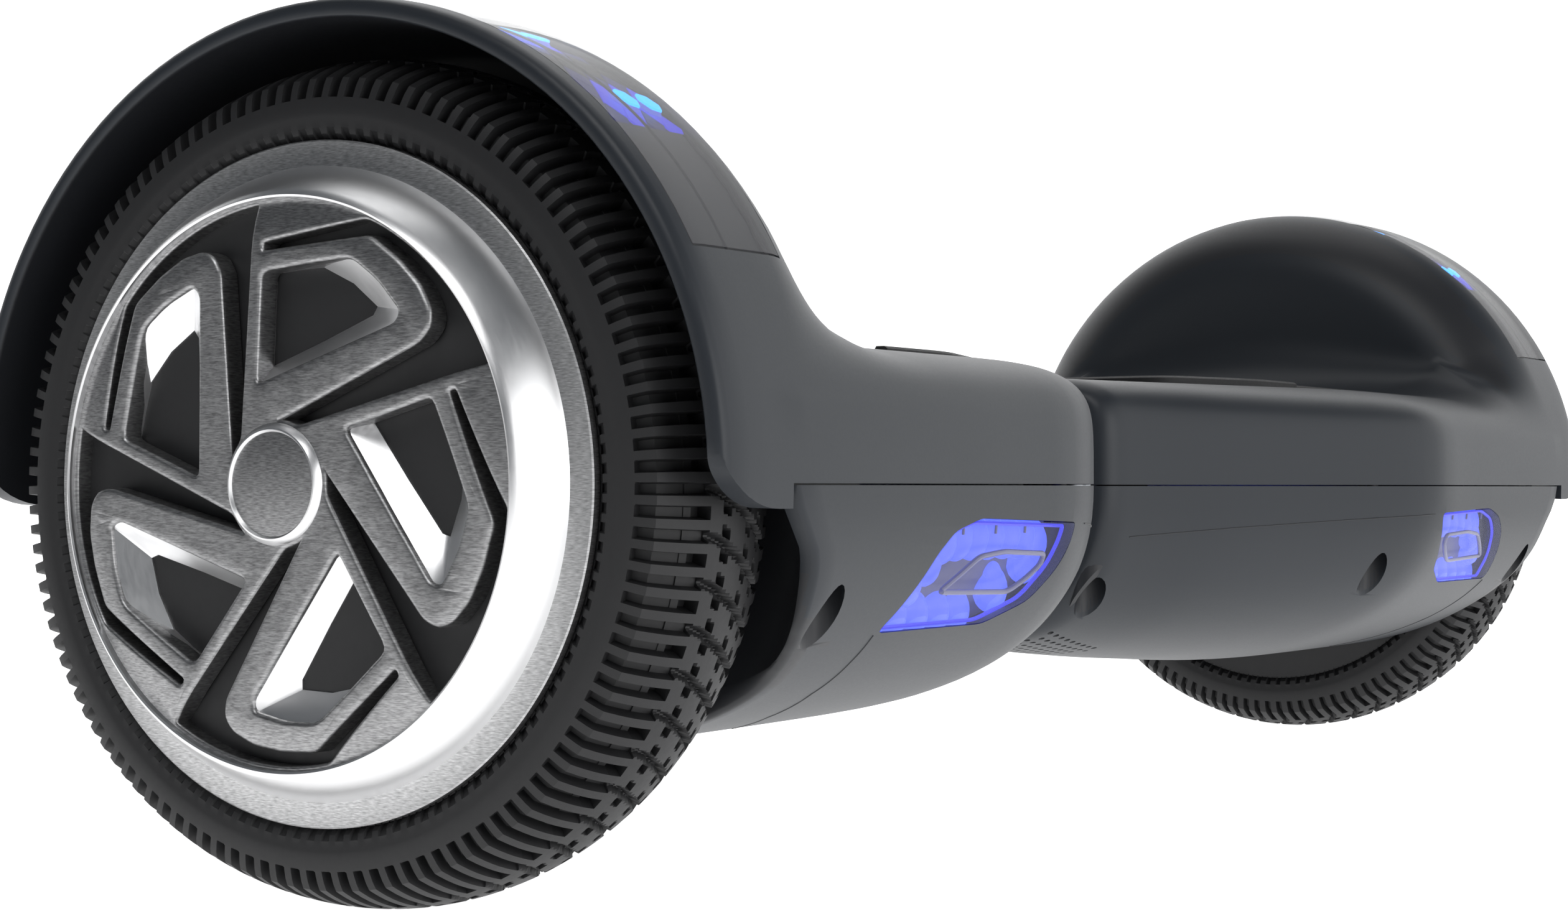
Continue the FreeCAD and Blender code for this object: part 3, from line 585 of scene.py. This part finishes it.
LAMP = rounded(HEADLIGHT, 2.5, 3)
SCREWS = [(12, 33), (108, 80), (229, 87)]
SCREW_SEAT, COUNTERBORE, PILOT = -11, 4.4, 1.9
STRIP_LOW, STRIP_HIGH, STRIP_START, STRIP_SWEEP = 240.8, 272.2, 26.8, 70.4
LEAF = [(184.4, -22.2), (178, -18.5), (172, -15.1), (161, -14.2), (141, -15), (141.2, -17.4),
        (146, -20.5), (152, -23.1)]
BLOBS = [(143, -11), (150.5, -10.8), (158, -10.8), (165.5, -10.8), (173, -10.8), (180, -11.5),
         (184.5, -15.8), (190, -20), (160.5, -26.8), (170, -26.8), (179.5, -26.8), (189, -26.8),
         (197.5, -27.5), (147.7, -22.6), (137.3, -16.5), (136.2, -12.5)]
HEXAGONS = [51.4, 70.3, 89.2]
HEXAGON_ROWS = (246.8, 254.4)


def make_shells():
    """Both shells of the right half with every opening, and what shows through them."""
    upper = body_skin("right_upper_skin", upper_path, 1, 2.7)
    lower = body_skin("right_lower_skin", lower_path, -1, 0)
    lens = copy_of(lower, "right_headlight_glass")
    carve(lens, prism("lens_form", grown(LAMP, -0.25), -120, -60), operation="INTERSECT")
    dress(lens, clear_lens)
    tools = [prism("lamp_hole", LAMP, -120, -60)]
    for x, y in SCREWS:
        for side in (-1, 1):
            tools.append(post("counterbore", x, side * y, -80, SCREW_SEAT, COUNTERBORE))
            tools.append(post("pilot", x, side * y, SCREW_SEAT - 1, 5, PILOT))
    tools.append(block("above_seam", (-5, -120, -SEAM), (300, 120, 30)))
    carve(lower, *tools)
    carve(upper, block("below_seam", (-5, -120, -30), (254, 120, SEAM)),
          arc_bar("strip_pocket", STRIP_LOW, STRIP_HIGH, 92.2, 110, STRIP_START, STRIP_SWEEP,
                  inner_plastic),
          prism("pad_pocket", pad_outline(0.5), 29.0, 60, plane="xy"))
    corner = [(280, -8), (280, 7)] + [(259 + 18 * math.cos(math.radians(step)),
                                       7 - 11.5 * math.sin(math.radians(step)))
                                      for step in range(0, 91, 9)] + [(259, -8)]
    carve(upper, prism("fender_corner", corner, -120, 120))
    for obj in (upper, lower):
        darken_well(obj)
        smooth(obj, 50)
    return upper, lower, smooth(lens)


def post(name, u, y, low, high, radius, steps=24, mat=None):
    """An upright round post."""
    loops = [[(u + radius * cos, y + radius * sin, z + AXLE) for cos, sin in circle(steps)]
             for z in (low, high)]
    return tube_of_loops(name, loops, mat or inner_plastic)


def darken_well(obj):
    """The inside of the wheel well is unlit black plastic."""
    obj.data.materials.append(inner_plastic)
    black = len(obj.data.materials) - 1
    for polygon in obj.data.polygons:
        centre = polygon.center / MM
        radius = math.hypot(centre.y, centre.z - AXLE)
        if abs(centre.x) > 224 and radius < WELL_RADIUS + 0.4 and abs(centre.x) < 276.4:
            polygon.material_index = black


def make_headlight():
    """Glowing diodes on a grey board behind the lens, with a painted faint blue glow on the board and
    its ticks, and the leaf-shaped bead on it.
    """
    # painted glow: the board behind the diodes shines faintly blue
    board = front_slab("board", 8.5, 10, grey_board_painted_glow)
    carve(board, prism("board_form", grown(LAMP, 2), -120, -60), operation="INTERSECT")
    parts = [board]
    for u, z in BLOBS:
        parts.append(ball(u, z, 7.5, (5.9, 3.2, 5.4), head_glow))
    parts.append(ball(149.5, -19, 8, (3.2, 1.8, 2.6), head_glow))
    wall = front_slab("wall", 1.6, 9, head_dim)
    carve(wall, prism("wall_form", grown(LAMP, -0.3), -120, -60), operation="INTERSECT")
    carve(wall, prism("wall_core", grown(LAMP, -1.3), -121, -59))
    dress(wall, head_dim)
    parts.append(wall)
    lit = join("right_headlight_diodes", parts)
    rim = [behind_lens(u, z, 2.6) for u, z in grown(LAMP, -0.9)]
    leaf = [behind_lens(u, z, 1.0) for u, z in rounded(LEAF, 2, 3)]
    ticks = []
    for u in (178, 163, 149):
        ends = [(u, -(section_depth(180, z) - 3), AXLE - drop)
                for z, drop in ((-8.6, 8.2), (-10, 10.4))]
        ticks.append(path_tube("tick", ends, 0.3, grey_board_painted_glow, closed=False))
    edge = path_tube("edge", rim, 0.45, head_edge, 6)
    bead = join("right_headlight_bead", [path_tube("leaf", leaf, 0.6, clear_bead), edge] + ticks)
    return lit, bead


def make_strip():
    """The smoky lens in the fender over hexagonal diodes in a field of diamonds, with a painted blue
    halo on the diamonds round each diode.
    """
    glass = arc_bar("right_fender_glass", 241.1, 271.9, 94.5, None, 27.1, 69.8, smoke_lens)
    seam = arc_bar("fold", 258.2, 258.5, 94.0, 94.45, 27.4, 69.2, inner_plastic, 32)
    board = arc_bar("panel", 241.2, 271.8, 92.3, 92.8, 27.2, 69.6, black_board)
    plain = arc_bar("plain_panel", 241.4, 271.6, 92.8, 93.3, 27.3, 19, smoke_panel, 16)
    parts = [board, plain, seam]
    pitch_u, pitch_angle, degree = 6.2, 3.1, 1.6
    row = 0
    angle = 47.5
    while angle < 96:
        shift = 0.5 if row % 2 else 0
        for column in range(5):
            u = 244.5 + (column + shift) * pitch_u
            if u > 269:
                continue
            near = min(math.hypot(u - centre, (angle - spot) * degree)
                       for spot in HEXAGONS for centre in HEXAGON_ROWS)
            # painted halo: diamonds close to a hexagon diode glow blue and those a little further glow
            # faintly, a painted spill of its light
            mat = painted_halo_bright if near < 7 else painted_halo_faint if near < 11 else diamond_grey
            parts.append(tile(u, angle, pitch_u * 0.46, pitch_angle * 0.88, mat))
        angle += pitch_angle * 0.94
        row += 1
    scallop = [point_on(243.6 + 0.55 * abs(math.sin(math.radians(18 * step))), 27.6 + 0.45 * step, 93.5)
               for step in range(42)]
    parts.append(path_tube("scallop", scallop, 0.28, diamond_grey, 6, closed=False))
    for spot in HEXAGONS:
        for centre in HEXAGON_ROWS:
            parts.append(hexagon(centre, spot, 93.9, 94.35, 1.04, led_cyan))
            parts.append(hexagon(centre, spot, 92.7, 93.9, 1.4, head_glow))
    return glass, join("right_fender_diodes", parts)


def point_on(u, angle, radius):
    """A place on the fender, by its angle up from the front."""
    turn = math.radians(angle)
    return u, -radius * math.cos(turn), AXLE + radius * math.sin(turn)


def tile(u, angle, half_u, half_angle, mat):
    """One diamond of the field under the fender's lens."""
    corners = [(u - half_u, angle), (u, angle - half_angle),
               (u + half_u, angle), (u, angle + half_angle)]
    loops = [[point_on(a, b, radius) for a, b in corners] for radius in (92.7, 93.2)]
    return tube_of_loops("tile", loops, mat)


def hexagon(u, angle, low, high, spread, mat):
    """A six-sided diode cap that narrows from its foot."""
    size = 2.7
    loops = []
    for radius, share in ((low, spread), (high, 1.0)):
        loop = []
        for corner in range(6):
            side, rise = math.cos(math.pi * corner / 3), math.sin(math.pi * corner / 3)
            loop.append(point_on(u + size * share * side,
                                 angle + size * share * 0.62 * rise + 0.35 * share * side, radius))
        loops.append(loop)
    return tube_of_loops("hexagon", loops, mat)


# ------------------------------------------------------------------ foot pad, collar

PAD = [(58, 36), (100, 48), (131, 48), (132, 48), (204, 48)]
TOE_BAR = 131.6


def pad_outline(grow):
    ends = {0: -grow, len(PAD) - 1: grow}
    near = [(x + ends.get(index, 0), y + grow) for index, (x, y) in enumerate(PAD)]
    return rounded([(x, -y) for x, y in near] + [(x, y) for x, y in reversed(near)], 9, 5)


def make_pad():
    """A rubber mat with a raised border and rows of grip ribs."""
    loops = []
    for grow, height, lift in ((-1.5, 28.6, 0), (0, 28.8, 0), (0, 30.5, 0.9), (-0.9, 31.1, 0.9),
                               (-3.0, 31.1, 0.9), (-3.6, 30.6, 0.3)):
        loops.append([(u, y, height + AXLE + (lift if u < TOE_BAR else 0))
                      for u, y in pad_outline(grow)])
    mat = tube_of_loops("mat", loops, pad_rubber, angle=40)
    ribs = []
    for step in range(17):
        u = 66 + 8 * step
        half = min(44, 33.5 + (u - 58) * 0.27) - 3
        for low, high in ((-half, -3), (3, half)):
            ribs.append(rib(u, low, high))
    return join("right_pad_mat", [mat] + ribs)


def rib(u, low, high):
    """One grip rib that tapers away at both ends."""
    section_points = [(-1.6, 30.3), (1.6, 30.3), (1.3, 31.1), (0.7, 31.35), (-0.7, 31.35), (-1.3, 31.1)]
    loops = []
    for y, share in ((low, 0.4), (low + 1.2, 1), (high - 1.2, 1), (high, 0.4)):
        loops.append([(u + x * share + 0.05 * abs(y), y, AXLE + 30.3 + (z - 30.3) * share)
                      for x, z in section_points])
    return tube_of_loops("rib", loops, pad_rubber, angle=50)


COLLAR_BORE = 16.1


def make_collar():
    """The ring in the gap between the halves."""
    def ring_at(x, inset):
        points = []
        for step in range(96):
            turn = 2 * math.pi * step / 96
            upper = math.sin(turn) > 0
            radius = oval(turn, 37 - inset, (30.4 if upper else 40) - inset, upper)
            points.append((x, -radius * math.cos(turn), AXLE + radius * math.sin(turn)))
        return points
    loops = [ring_at(-5.8, 1.2), ring_at(-5.2, 0.3), ring_at(-4.4, 0), ring_at(-1.2, 0),
             ring_at(-0.9, 0.7), ring_at(0.3, 0.7), ring_at(0.6, 0), ring_at(3.6, 0), ring_at(4.3, 0.3),
             ring_at(4.8, 1.2)]
    tube = [[(x, -COLLAR_BORE * cos, AXLE + COLLAR_BORE * sin) for cos, sin in circle(96)]
            for x in (4.8, -5.8)]
    return tube_of_loops("collar_ring", loops + tube, collar_plastic, closed=True, angle=40)


# ------------------------------------------------------------------ wheels

def groove_shift(x):
    """How far round the wheel the long grooves have drifted at x, in degrees."""
    return -7.3 * (max(8 - x, 0) / 21) ** 1.3 if x > -13 else -7.3


def tyre_depth(x, angle):
    """How far a groove, slot or pit goes into the tread; angle in degrees round the wheel."""
    down = (groove_shift(x) - angle) % 6
    if 13 < abs(x) <= 20.6:
        return 2.3 if down < 1.4 or 3 <= down < 4.4 else 0
    if 8.15 <= x <= 13:
        if 3 <= down < 4.4:
            return 3.6 if x < 11.15 else 2.1
        return 2.0 if down < 1.3 else 0
    if -13 <= x < 8.15 and down < 1.15:
        return 1.7 * (1 - (2 * down / 1.15 - 1) ** 4)
    for place, half in ((3.5, 1.25), (-4, 1.05), (-9, 0.95)):
        if abs(x - place) <= half and (1.6 <= down < 2.6 or 4.55 <= down < 5.55):
            return 2.6
    return 0


TREAD_ROWS = [19.2, 18.4, 16.5, 14.5, 13.05, 12.9, 11.25, 11.1, 9.6, 8.2, 8.1, 7, 5.9, 4.8,
              4.7, 3.5, 2.3, 2.2, 1, -0.5, -1.8, -2.9, -3, -4, -5, -5.1, -6.5, -8, -8.1, -9, -9.9, -10,
              -11.5, -12.9, -13.05, -14.5, -16.5, -18.4, -19.2]
SIDE_ROWS = [(19.9, 78.0), (20.4, 76.4), (20.58, 75.7), (20.64, 75.5), (20.9, 74.0), (21, 72.6),
             (20.95, 71.6), (20.8, 70.9), (20.75, 69.6), (20.4, 68.4), (19.6, 67.6), (19, 67.35)]


def make_tyre(name):
    """Tyre with grooved tread and toothed shoulders; x is measured outboard from its middle."""
    crown = [(x, 49 + math.sqrt(36 * 36 - x * x)) for x in TREAD_ROWS]
    row = SIDE_ROWS[::-1] + crown + [(-x, radius) for x, radius in SIDE_ROWS]
    normals = []
    for index, (x, radius) in enumerate(row):
        before, after = row[max(index - 1, 0)], row[min(index + 1, len(row) - 1)]
        along = Vector((after[0] - before[0], after[1] - before[1])).normalized()
        normals.append((-along.y, along.x) if along.x > 0 else (along.y, -along.x))
    loops = []
    steps = 1440
    for step in range(steps):
        angle = 360 * step / steps
        turn = math.radians(angle)
        loop = []
        for (x, radius), (out_x, out_r) in zip(row, normals):
            depth = tyre_depth(x, angle)
            r = radius - depth * abs(out_r)
            loop.append((WHEEL + x - depth * math.copysign(abs(out_x), x),
                         -r * math.cos(turn), AXLE + r * math.sin(turn)))
        loops.append(loop)
    return tube_of_loops(name, loops, tyre_rubber, closed=True, angle=26)


def make_disc(name):
    """The brushed flange and band of the wheel cover."""
    profile = [(19.5, 67.1), (21.2, 67.1), (21.5, 66.8), (21.5, 62.6), (21.7, 62.0), (22.6, 61.6),
               (25.5, 60.2), (28.4, 58.3), (30.2, 57.0), (31.2, 56.2), (31.6, 55.6), (31.4, 55.2),
               (26, 55.0), (21, 58.6), (19.5, 60)]
    ring = drum(name, profile, ring_silver, 240, WHEEL, angle=24)
    ring.data.materials.append(polished)
    for polygon in ring.data.polygons:
        centre = polygon.center / MM
        if math.hypot(centre.y, centre.z - AXLE) < 62.2:
            polygon.material_index = 1
    return ring


CLAW = [(3.9, 47.0), (-21.2, 50.5)]
CLAW_END = [(-50.4, 21.7), (-5.5, 10.7), (-2.6, 11.7), (0.3, 12.2), (-34.7, 26.7), (-36.9, 29.2),
            (-36.9, 32.2), (-34.2, 36.9), (-29.4, 41.5), (-22.5, 46.3), (3.9, 44.4)]
WINDOW = [(4.2, 41.4), (-7.2, 42.5), (-18.6, 43.3), (-25.1, 38.7), (-30.8, 32.4), (-29.4, 29.7),
          (-12, 24.1), (5.4, 18.6)]
FLOOR = [(4.0, 40.9), (-2.2, 41.4), (-8.0, 41.6), (-15.4, 38.2), (-21.2, 33.6), (-20.1, 32.0),
         (-8, 27.4), (4.9, 22.9)]


def turned(points, share):
    """Wheel-face points carried on by a number of fifths of a turn."""
    turn = math.radians(72 * share)
    return [(x * math.cos(turn) - y * math.sin(turn), x * math.sin(turn) + y * math.cos(turn))
            for x, y in points]


def wheel_point(side, height):
    """Wheel-plane points (y, z) as seen from outboard, placed at a height outboard."""
    y, z = side
    return WHEEL + height, y, AXLE + z


def claw_outline():
    """The slot beside each spoke, closed by an arc along the band."""
    arc = []
    for step in range(1, 12):
        angle = math.radians(112.8 + 44 * step / 12)
        arc.append((54.8 * math.cos(angle), 54.8 * math.sin(angle)))
    return CLAW + arc + CLAW_END


def spokes_plate(name):
    """The five-spoked face, cut from a sheet with bevelled edges."""
    curve = bpy.data.curves.new(name, "CURVE")
    curve.dimensions = "2D"
    curve.fill_mode = "BOTH"
    curve.extrude = 1.9 * MM
    curve.bevel_depth = 0.9 * MM
    curve.bevel_resolution = 3
    curve.offset = -0.3 * MM

    def add(points):
        spline = curve.splines.new("POLY")
        spline.points.add(len(points) - 1)
        for index, (x, y) in enumerate(points):
            spline.points[index].co = (x * MM, y * MM, 0, 1)
        spline.use_cyclic_u = True
    add([(55.9 * math.cos(math.radians(3 * step)), 55.9 * math.sin(math.radians(3 * step)))
         for step in range(120)])
    for share in range(5):
        add(turned(rounded(claw_outline(), 1.1, 2), share))
        add(turned(rounded(WINDOW, 2.2, 3), share))
    flat = placed(name + "_curve", curve)
    graph = bpy.context.evaluated_depsgraph_get()
    mesh = bpy.data.meshes.new_from_object(flat.evaluated_get(graph))
    bpy.data.objects.remove(flat)
    middle = WHEEL + 29.2
    place = Matrix(((0, 0, 1, middle * MM), (1, 0, 0, 0), (0, 1, 0, AXLE * MM), (0, 0, 0, 1)))
    mesh.transform(place)
    form = bmesh.new()
    form.from_mesh(mesh)
    bmesh.ops.remove_doubles(form, verts=form.verts, dist=0.00001)
    for reach in (14, 7, 4, 4):
        bmesh.ops.triangulate(form, faces=form.faces)
        long = [edge for edge in form.edges if edge.calc_length() > reach * MM]
        bmesh.ops.subdivide_edges(form, edges=long, cuts=1)
    for vert in form.verts:
        radius = math.hypot(vert.co.y, vert.co.z - AXLE * MM) / MM
        vert.co.x -= 2.0 * MM * max(0, (radius - 45) / 10.5) ** 2
    bmesh.ops.recalc_face_normals(form, faces=form.faces)
    form.to_mesh(mesh)
    form.free()
    obj = placed(name, mesh)
    dress(obj, brushed)
    return smooth(obj, 30)


def make_ledges(name):
    """The sloping bright sides of the windows, down to the black floor."""
    parts = []
    for share in range(5):
        top = turned(grown(WINDOW, 0.6), share)
        rim = turned(WINDOW, share)
        floor = turned(FLOOR, share)
        loops = [[wheel_point(point, height) for point in outline]
                 for outline, height in ((top, 28.2), (rim, 31.4), (floor, 26.9), (floor, 25.6))]
        parts.append(tube_of_loops("ledge", loops, polished, closed=True, caps=False))
    return join(name, parts)


def make_cap(name):
    """The brushed cap on the axle and its polished rim."""
    profile = [(24.8, 0.02), (24.8, 10.4), (32.7, 10.4), (32.8, 10.0), (32.75, 0.02)]
    inner = drum("cap_face", profile, brushed, 96, WHEEL, angle=24)
    rim_profile = [(25, 12.15), (31.3, 12.15), (32.6, 11.5), (33.35, 10.8), (33.4, 10.5), (32.9, 10.1),
                   (25, 10.1)]
    return join(name, [inner, drum("cap_rim", rim_profile, polished, 96, WHEEL, angle=24)])


# ------------------------------------------------------------------ putting it together

def settle(obj, node, body):
    """A finished piece stands for its CAD node and rides its body."""
    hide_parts(node)
    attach(obj, body)


def both_sides(obj, base):
    """A right-hand piece and its mirrored twin, each with the side it belongs to."""
    obj.name = "right_" + base
    return ("right", obj), ("left", mirrored(obj, "left_" + base))


def pair(obj, base, node, body):
    """Settle a right-hand piece and its mirrored twin."""
    for side, piece in both_sides(obj, base):
        settle(piece, side + "_" + node, side + "_" + body)


def pair_extra(obj, base):
    """The same for a piece that stands for no CAD node."""
    for side, piece in both_sides(obj, base):
        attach(piece, side + "_half")


def sound_holes():
    """A staggered field of small round holes under the right half."""
    holes = []
    for row in range(7):
        for column in range(9):
            u = 13 + 3.6 * column + (1.8 if row % 2 else 0)
            holes.append(post("hole", u, 1 - 3.6 * row, -60, -28, 0.9, 10))
    return join("sound_holes", holes)


def rear_hole(u):
    """The opening in the back for the button or the charging inlet."""
    radius, drop = 9.7, 12
    loops = [[(u + radius * cos, y, AXLE - drop + radius * sin) for cos, sin in circle(40)]
             for y in (60, 110)]
    return tube_of_loops("rear_hole", loops, inner_plastic)


def on_skin(points):
    """Places on the front of the lower shell, from (u, z) stations with even steps between them."""
    result = []
    for (u0, z0), (u1, z1) in zip(points, points[1:]):
        for step in range(8):
            u, z = u0 + (u1 - u0) * step / 8, z0 + (z1 - z0) * step / 8
            result.append((u, -section_depth(u, z), z + AXLE))
    return result


def make_trim():
    """Fine dark joints round the headlight, the lips behind the seam and the screw bosses."""
    lines = [[(15, -14.2), (50, -12), (90, -10), (129, -8.4)],
             [(203.4, -30.4), (202, -36), (199, -43), (193, -49), (184, -53)]]
    lips = [block("lip", (226, low, -2), (253, low + 2, 2)) for low in (-93.5, 91.5)]
    bosses = [screw_boss(x, side * y) for x, y in SCREWS[:2] for side in (-1, 1)]
    threads = [path_tube("line", on_skin(line), 0.16, inner_plastic, 6, closed=False) for line in lines]
    return join("trim", lips + bosses + threads)


def screw_boss(x, y):
    """The moulded cup round a deep screw hole, closed off from the hollow body."""
    loops = []
    for cos, sin in circle(32):
        reach = [(x + radius * cos, y + radius * sin) for radius in (PILOT, COUNTERBORE - 0.02, 5.8)]
        low = []
        for u, across in reach:
            belly, depth = between(WAIST, u, 2), between(WAIST, u)
            share = min(abs(across) / depth, 1)
            low.append(min(1.4 - belly * (1 - share ** LOWER_POWER) ** (1 / LOWER_POWER), -12))
        profile = [(0, -9), (2, -9), (2, low[2]), (1, low[1]), (1, SCREW_SEAT), (0, SCREW_SEAT)]
        loops.append([(*reach[ring], height + AXLE) for ring, height in profile])
    return tube_of_loops("boss", loops, inner_plastic, closed=True)


def build_halves():
    """The body pieces; the openings that only one half has are cut after the mirroring."""
    upper, lower, lens = make_shells()
    left_lower = mirrored(lower, "left_lower_skin")
    carve(lower, join("right_openings", [rear_hole(150), sound_holes()]))
    carve(left_lower, rear_hole(-150))
    for side, piece in (("right", lower), ("left", left_lower)):
        smooth(piece, 50)
        settle(piece, side + "_lower_shell", side + "_half")
    pair(upper, "upper_skin", "upper_shell", "half")
    pair(lens, "headlight_glass", "headlight_lens", "half")
    lit, bead = make_headlight()
    pair(lit, "headlight_diodes", "headlight_board", "half")
    pair_extra(bead, "headlight_bead")
    pair_extra(make_trim(), "trim_lines")
    glass, diodes = make_strip()
    pair(glass, "fender_glass", "fender_light_lens", "half")
    pair(diodes, "fender_diodes", "fender_light_board", "half")
    pair(make_pad(), "pad_mat", "foot_pad", "pad")
    settle(make_collar(), "centre_collar", "left_half")


def build_wheels():
    """Both wheels; the right one is the left one's half turn, so its spokes lean the other way."""
    parts = [(make_tyre("tyre"), "tyre_tread", "tyre", "tyre"),
             (join("cover", [make_disc("disc"), spokes_plate("spokes"), make_ledges("ledges")]),
              "wheel_face", "wheel_cover", "silver_cover"),
             (make_cap("cap"), "wheel_cap", "hub_cap", "cap")]
    for obj, base, node, slot_name in parts:
        left = mirrored(obj, "left_" + base)
        obj.name = "right_" + base
        obj.data.transform(Matrix.Diagonal((1, -1, 1, 1)))
        obj.data.flip_normals()
        settle(left, "left_" + node, "left_wheel")
        settle(obj, "right_" + node, "right_wheel")


SLOT_LOOKS = {
    "shell": shell_plastic, "light_lens": smoke_lens, "headlight_lens": clear_lens,
    "led_board": black_board, "fastener": dark_steel, "foot_rubber": pad_rubber,
    "cast_frame": cast_metal, "circuit_board": board_green, "pivot_steel": turned_steel,
    "bush": bronze, "collar": collar_plastic, "battery_wrap": battery_wrap, "speaker": black_board,
    "black_plastic": base_black, "silver_plastic": silver_plastic, "tyre": tyre_rubber,
    "rim": base_black, "magnet": turned_steel, "bearing": turned_steel, "shaft": turned_steel,
    "core": dark_steel, "windings": copper, "silver_cover": brushed, "cap": brushed,
}


def dress_frame():
    """Every CAD node that stays in view gets the look of its slot."""
    for subpart in frame["record"]["subparts"]:
        node = frame["nodes"][subpart["node"]]
        dress(node, SLOT_LOOKS[subpart["material_slot"]])


VIEW_TURN = 32.73


def make_camera():
    lens = bpy.data.cameras.new("camera")
    lens.sensor_width = 36
    lens.lens = 63.74
    lens.shift_x = 0.0589
    lens.shift_y = 0.0210
    eye = placed("camera", lens)
    eye.location = (-0.6926, -0.3551, 0.0843)
    eye.rotation_euler = (math.radians(90), 0, math.radians(VIEW_TURN - 90))
    bpy.context.scene.camera = eye


def lamp(name, place, aim, size, watts):
    light = bpy.data.lights.new(name, "AREA")
    light.shape = "RECTANGLE"
    light.size, light.size_y = size
    light.energy = watts
    holder = placed(name, light)
    holder.location = place
    holder.rotation_euler = (Vector(aim) - Vector(place)).to_track_quat("-Z", "Y").to_euler()
    return holder


def sheet_of(name, profile, mat, forward, across):
    """A wide strip that follows (reach, height) points away from the camera."""
    verts = [forward * reach + across * side + Vector((0, 0, height))
             for side in (-8, 8) for reach, height in profile]
    count = len(profile)
    faces = [(index, index + 1, count + index + 1, count + index) for index in range(count - 1)]
    mesh = bpy.data.meshes.new(name)
    mesh.from_pydata(verts, [], faces)
    mesh.materials.append(mat)
    return smooth(placed(name, mesh), 60)


def make_studio():
    """A pale floor with a painted pool of light in its glow and a bright wall behind, with soft lights
    from the front and the top.
    """
    turn = math.radians(VIEW_TURN)
    forward = Vector((math.cos(turn), math.sin(turn), 0))
    across = Vector((-math.sin(turn), math.cos(turn), 0))
    # painted light: the floor glows by its own emission, a painted pool of light that fades toward the
    # viewer and beyond both sides
    pale = material("floor_pale_painted_glow", (0.7, 0.7, 0.7), 0.85, Emission_Color=(1, 1, 1, 1))
    nodes, links = pale.node_tree.nodes, pale.node_tree.links
    where = nodes.new("ShaderNodeTexCoord")
    both = nodes.new("ShaderNodeMath")
    both.operation = "MULTIPLY"
    most = nodes.new("ShaderNodeMath")
    most.operation = "MULTIPLY"
    # the floor dims a little toward the viewer and beyond both sides of the photograph's view
    edges = ((forward, -0.9, -0.2, both.inputs[0]),
             (Vector((0.728, -0.686, 0)), -0.9, -0.3, both.inputs[1]),
             (Vector((-0.262, 0.965, 0)), -0.8, -0.2, most.inputs[1]))
    for way, dim, lit, target in edges:
        along = nodes.new("ShaderNodeVectorMath")
        along.operation = "DOT_PRODUCT"
        along.inputs[1].default_value = way
        fade = nodes.new("ShaderNodeMapRange")
        fade.interpolation_type = "SMOOTHSTEP"
        fade.inputs["From Min"].default_value = dim
        fade.inputs["From Max"].default_value = lit
        links.new(where.outputs["Object"], along.inputs[0])
        links.new(along.outputs["Value"], fade.inputs["Value"])
        links.new(fade.outputs["Result"], target)
    links.new(both.outputs["Value"], most.inputs[0])
    pool = nodes.new("ShaderNodeMapRange")
    pool.inputs["To Min"].default_value = 0.4
    pool.inputs["To Max"].default_value = 0.985
    links.new(most.outputs["Value"], pool.inputs["Value"])
    links.new(pool.outputs["Result"], nodes["Principled BSDF"].inputs["Emission Strength"])
    bright = material("wall_white", (0.9, 0.9, 0.9), 0.9, Emission_Color=(1, 1, 1, 1),
                      Emission_Strength=1.0)
    floor = sheet_of("studio_floor", [(-8, 0), (1.6, 0)], pale, forward, across)
    wall = sheet_of("studio_wall", [(1.6, 0), (2.4, 0.06), (2.9, 0.4), (3.1, 1.2), (3.1, 4)], bright,
                    forward, across)
    key = lamp("front_key", (0.5, -2.1, 0.6), (0.1, 0, 0.1), (3.0, 1.8), 22)
    top = lamp("top_soft", (0.5, 0.3, 1.8), (0.1, 0, 0.1), (1.6, 1.6), 9)
    over = lamp("wheel_over", (-0.95, -0.25, 1.0), (-0.3, 0, 0.09), (0.7, 0.5), 4)
    side = lamp("wheel_front", (-0.65, -1.8, 0.25), (-0.28, 0, 0.085), (1.1, 1.1), 9)
    world = bpy.data.worlds.new("studio_world")
    world.use_nodes = True
    world.node_tree.nodes["Background"].inputs[0].default_value = (0.82, 0.9, 1, 1)
    world.node_tree.nodes["Background"].inputs[1].default_value = 0.08
    nodes, links = world.node_tree.nodes, world.node_tree.links
    path = nodes.new("ShaderNodeLightPath")
    seen = nodes.new("ShaderNodeBackground")
    seen.inputs[0].default_value = (0.9, 0.9, 0.9, 1)
    choice = nodes.new("ShaderNodeMixShader")
    links.new(path.outputs["Is Camera Ray"], choice.inputs[0])
    links.new(nodes["Background"].outputs[0], choice.inputs[1])
    links.new(seen.outputs[0], choice.inputs[2])
    links.new(choice.outputs[0], nodes["World Output"].inputs["Surface"])
    bpy.context.scene.world = world


dress_frame()
build_halves()
build_wheels()
make_camera()
make_studio()
bpy.context.scene.view_settings.view_transform = "Standard"
